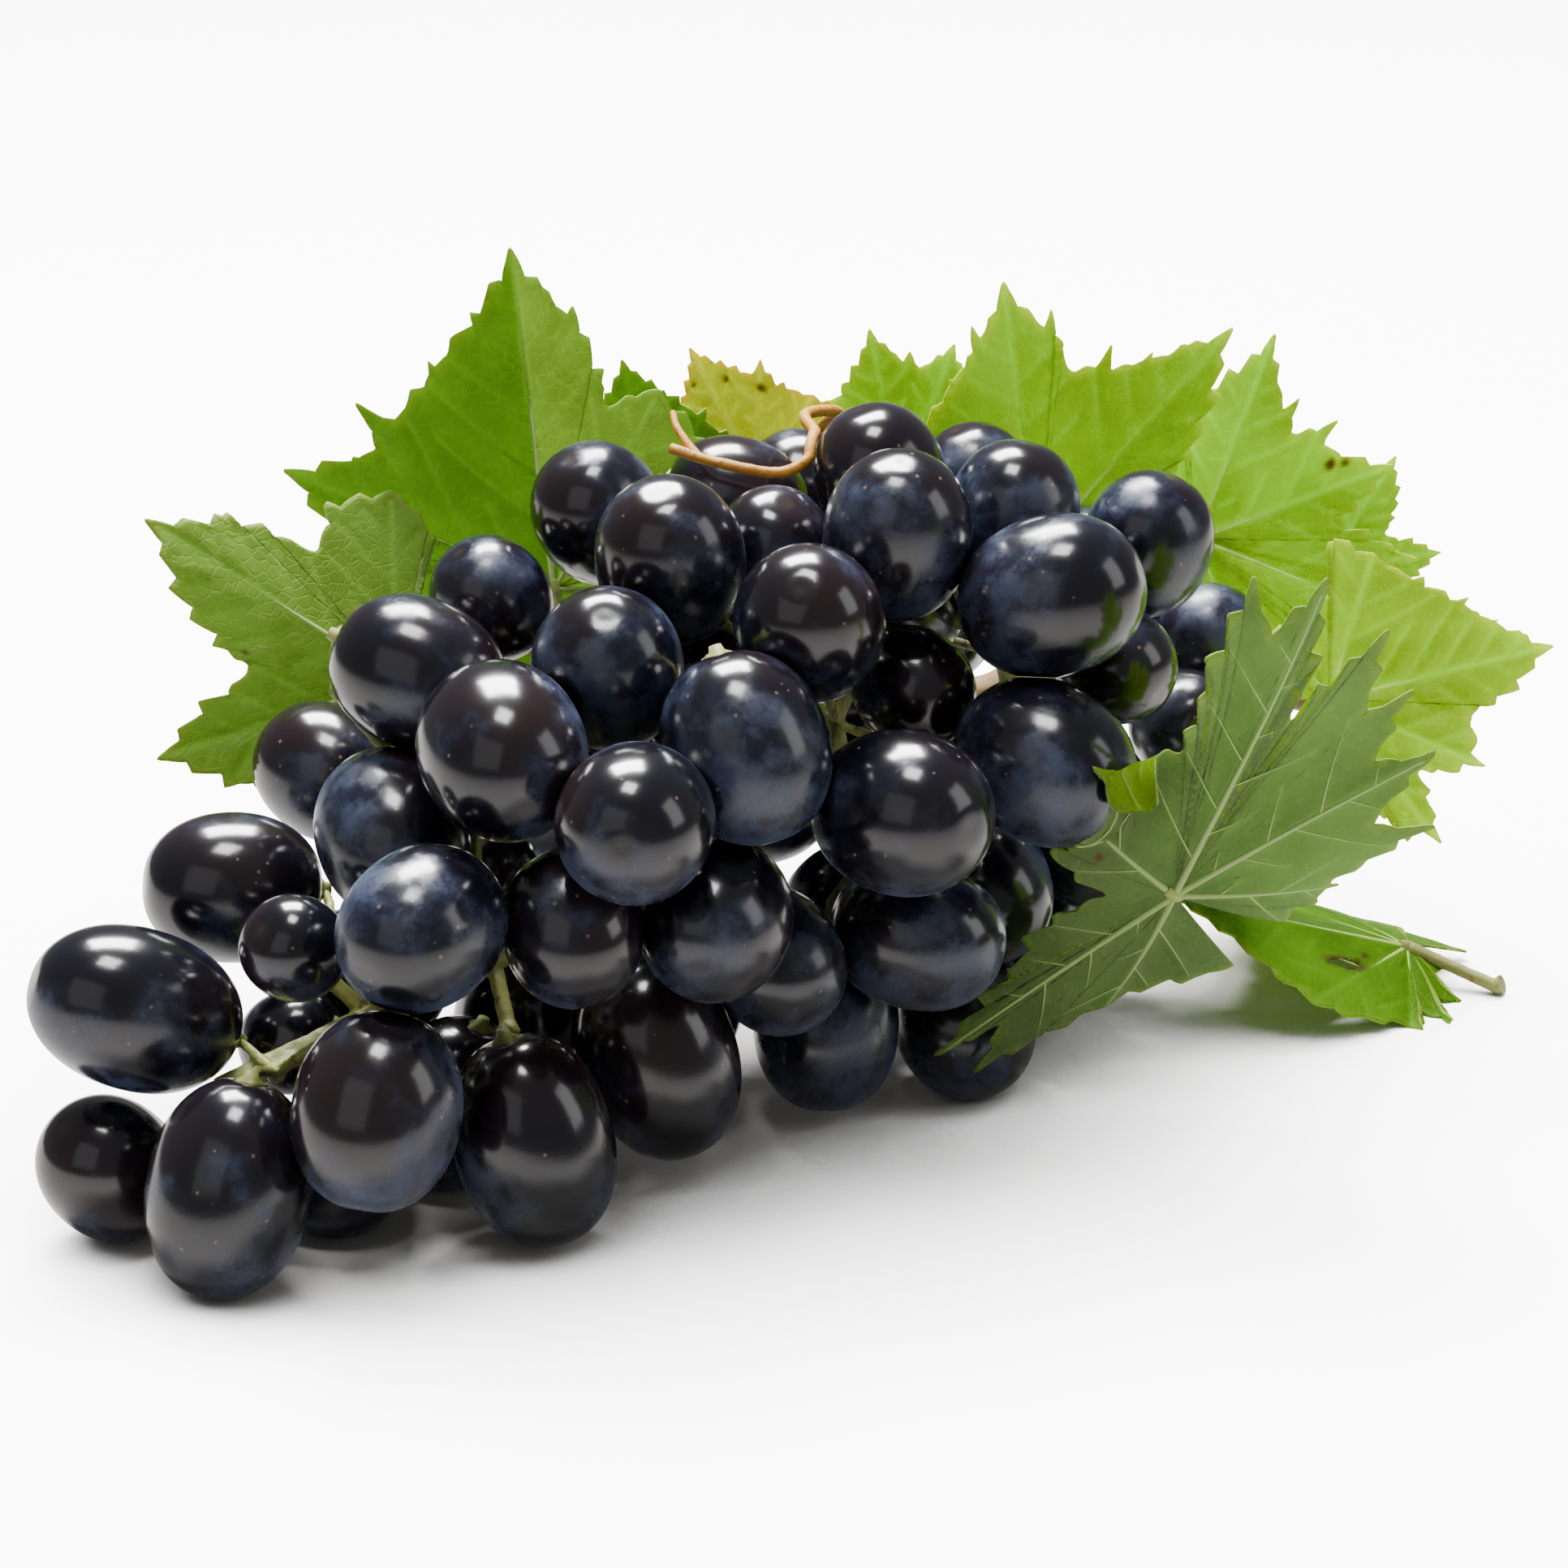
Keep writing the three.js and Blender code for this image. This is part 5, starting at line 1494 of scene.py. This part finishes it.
# How thick a leaf stalk is along its way from the blade, swelling where it meets the shoot.
PETIOLE_PLACES, PETIOLE_SIZES = [0, 0.06, 0.5, 0.92, 1], [0.75, 1.05, 0.85, 1.0, 1.45]
SHOOT_STEPS = 200


def make_veins(name, leaf, veins):
    look = LOOKS[leaf["look"]]
    lines = []
    for line, size, kind in veins:
        at_root = np.exp(-((np.linalg.norm(line[0]) / VEIN_ROOT) ** 2))
        radius = VEIN_RADII[kind] * (0.6 + 0.4 * size) * (1 + 0.3 * at_root)
        taper = np.linspace(1, VEIN_END, len(line))
        places = keep_clear(placed_on(leaf, line, np.full(len(line), -VEIN_DEPTH)), LEAF_ROOM)
        lines.append(list(zip(places, radius * taper)))
    piece = line_piece(f"{name}_veins", lines)
    grown(piece, TUBE, VEIN, Sides=8, Unevenness=0.1 * MM, Grain=900.0)
    tint = np.ones((len(piece.data.vertices), 4), np.float32)
    tint[:, :3] = 0.7 * np.array(look["under"]) + 0.3 * np.array(look["upper"])
    layer = piece.data.attributes.new("vein_tint", "FLOAT_COLOR", "POINT")
    layer.data.foreach_set("color", tint.ravel())
    return stands_for(piece, [name])


def make_petiole(name, leaf):
    joint, ahead, _, _, _ = leaf_frame(leaf)
    if "cut_end" in leaf:
        end = spot(*leaf["cut_end"])
    else:
        shoot = along([spot(*p) for p in SHOOT_POINTS], SHOOT_STEPS)
        end = shoot[round(SHOOT_STEPS * leaf["grows"])]
    way = way_through(joint, end, PETIOLE_ROOM)
    line = along(np.vstack([joint + PETIOLE_OVERLAP * ahead, way]), 60)
    share = np.linspace(0, 1, len(line))
    radii = PETIOLE_RADIUS * np.interp(share, PETIOLE_PLACES, PETIOLE_SIZES)
    line[:, 2] = np.maximum(line[:, 2], 1.15 * radii)
    piece = line_piece(f"{name}_petiole", [list(zip(line, radii))])
    grown(piece, TUBE, LEAF_STALK, Sides=14, Unevenness=0.25 * MM, Grain=500.0)
    return stands_for(piece, [name])


for number, (name, leaf) in enumerate(LEAVES.items()):
    veins = leaf_veins(leaf)
    blade = make_blade(name, leaf, veins, 300 + number)
    make_veins(name, leaf, veins)
    make_petiole(name, leaf)
    print(name, "blade faces:", len(blade.data.polygons), "veins:", len(veins))


# %% [markdown]
# ## The table
# A plain white table, big enough that its edge is never seen. Seen from the camera it glows like an
# overexposed sheet of paper, and the glow dims where the bunch hides the sky from it.

# %% Table
TABLE_FAR = 4.0
TABLE_COLOUR = (0.55, 0.53, 0.51, 1)
SKY_REACH = 0.14
GLOW_SEEN, GLOW_CAST = 9, 0.06


def make_table():
    top = Finish("white table")
    top.surface.inputs["Base Color"].default_value = TABLE_COLOUR
    top.surface.inputs["Roughness"].default_value = 0.5
    top.surface.inputs["Specular IOR Level"].default_value = 0.2
    top.surface.inputs["Emission Color"].default_value = (1, 1, 1, 1)
    seen = top.node("ShaderNodeLightPath").outputs["Is Camera Ray"]
    shade = top.node("ShaderNodeAmbientOcclusion", {"samples": 32}, Distance=SKY_REACH)
    glow = top.maths("POWER", top.ramp(shade.outputs["AO"], 0.15, 0.97), 1.5)
    strength = top.maths("MULTIPLY", glow, top.ramp(seen, 0, 1, GLOW_CAST, GLOW_SEEN))
    top.feed(top.surface, "Emission Strength", strength)
    corners = [(x * TABLE_FAR, y * TABLE_FAR, 0) for x, y in ((-1, -1), (1, -1), (1, 1), (-1, 1))]
    table = mesh_piece("table", corners, [(0, 1, 2, 3)])
    table.data.materials.append(top.material)


make_table()
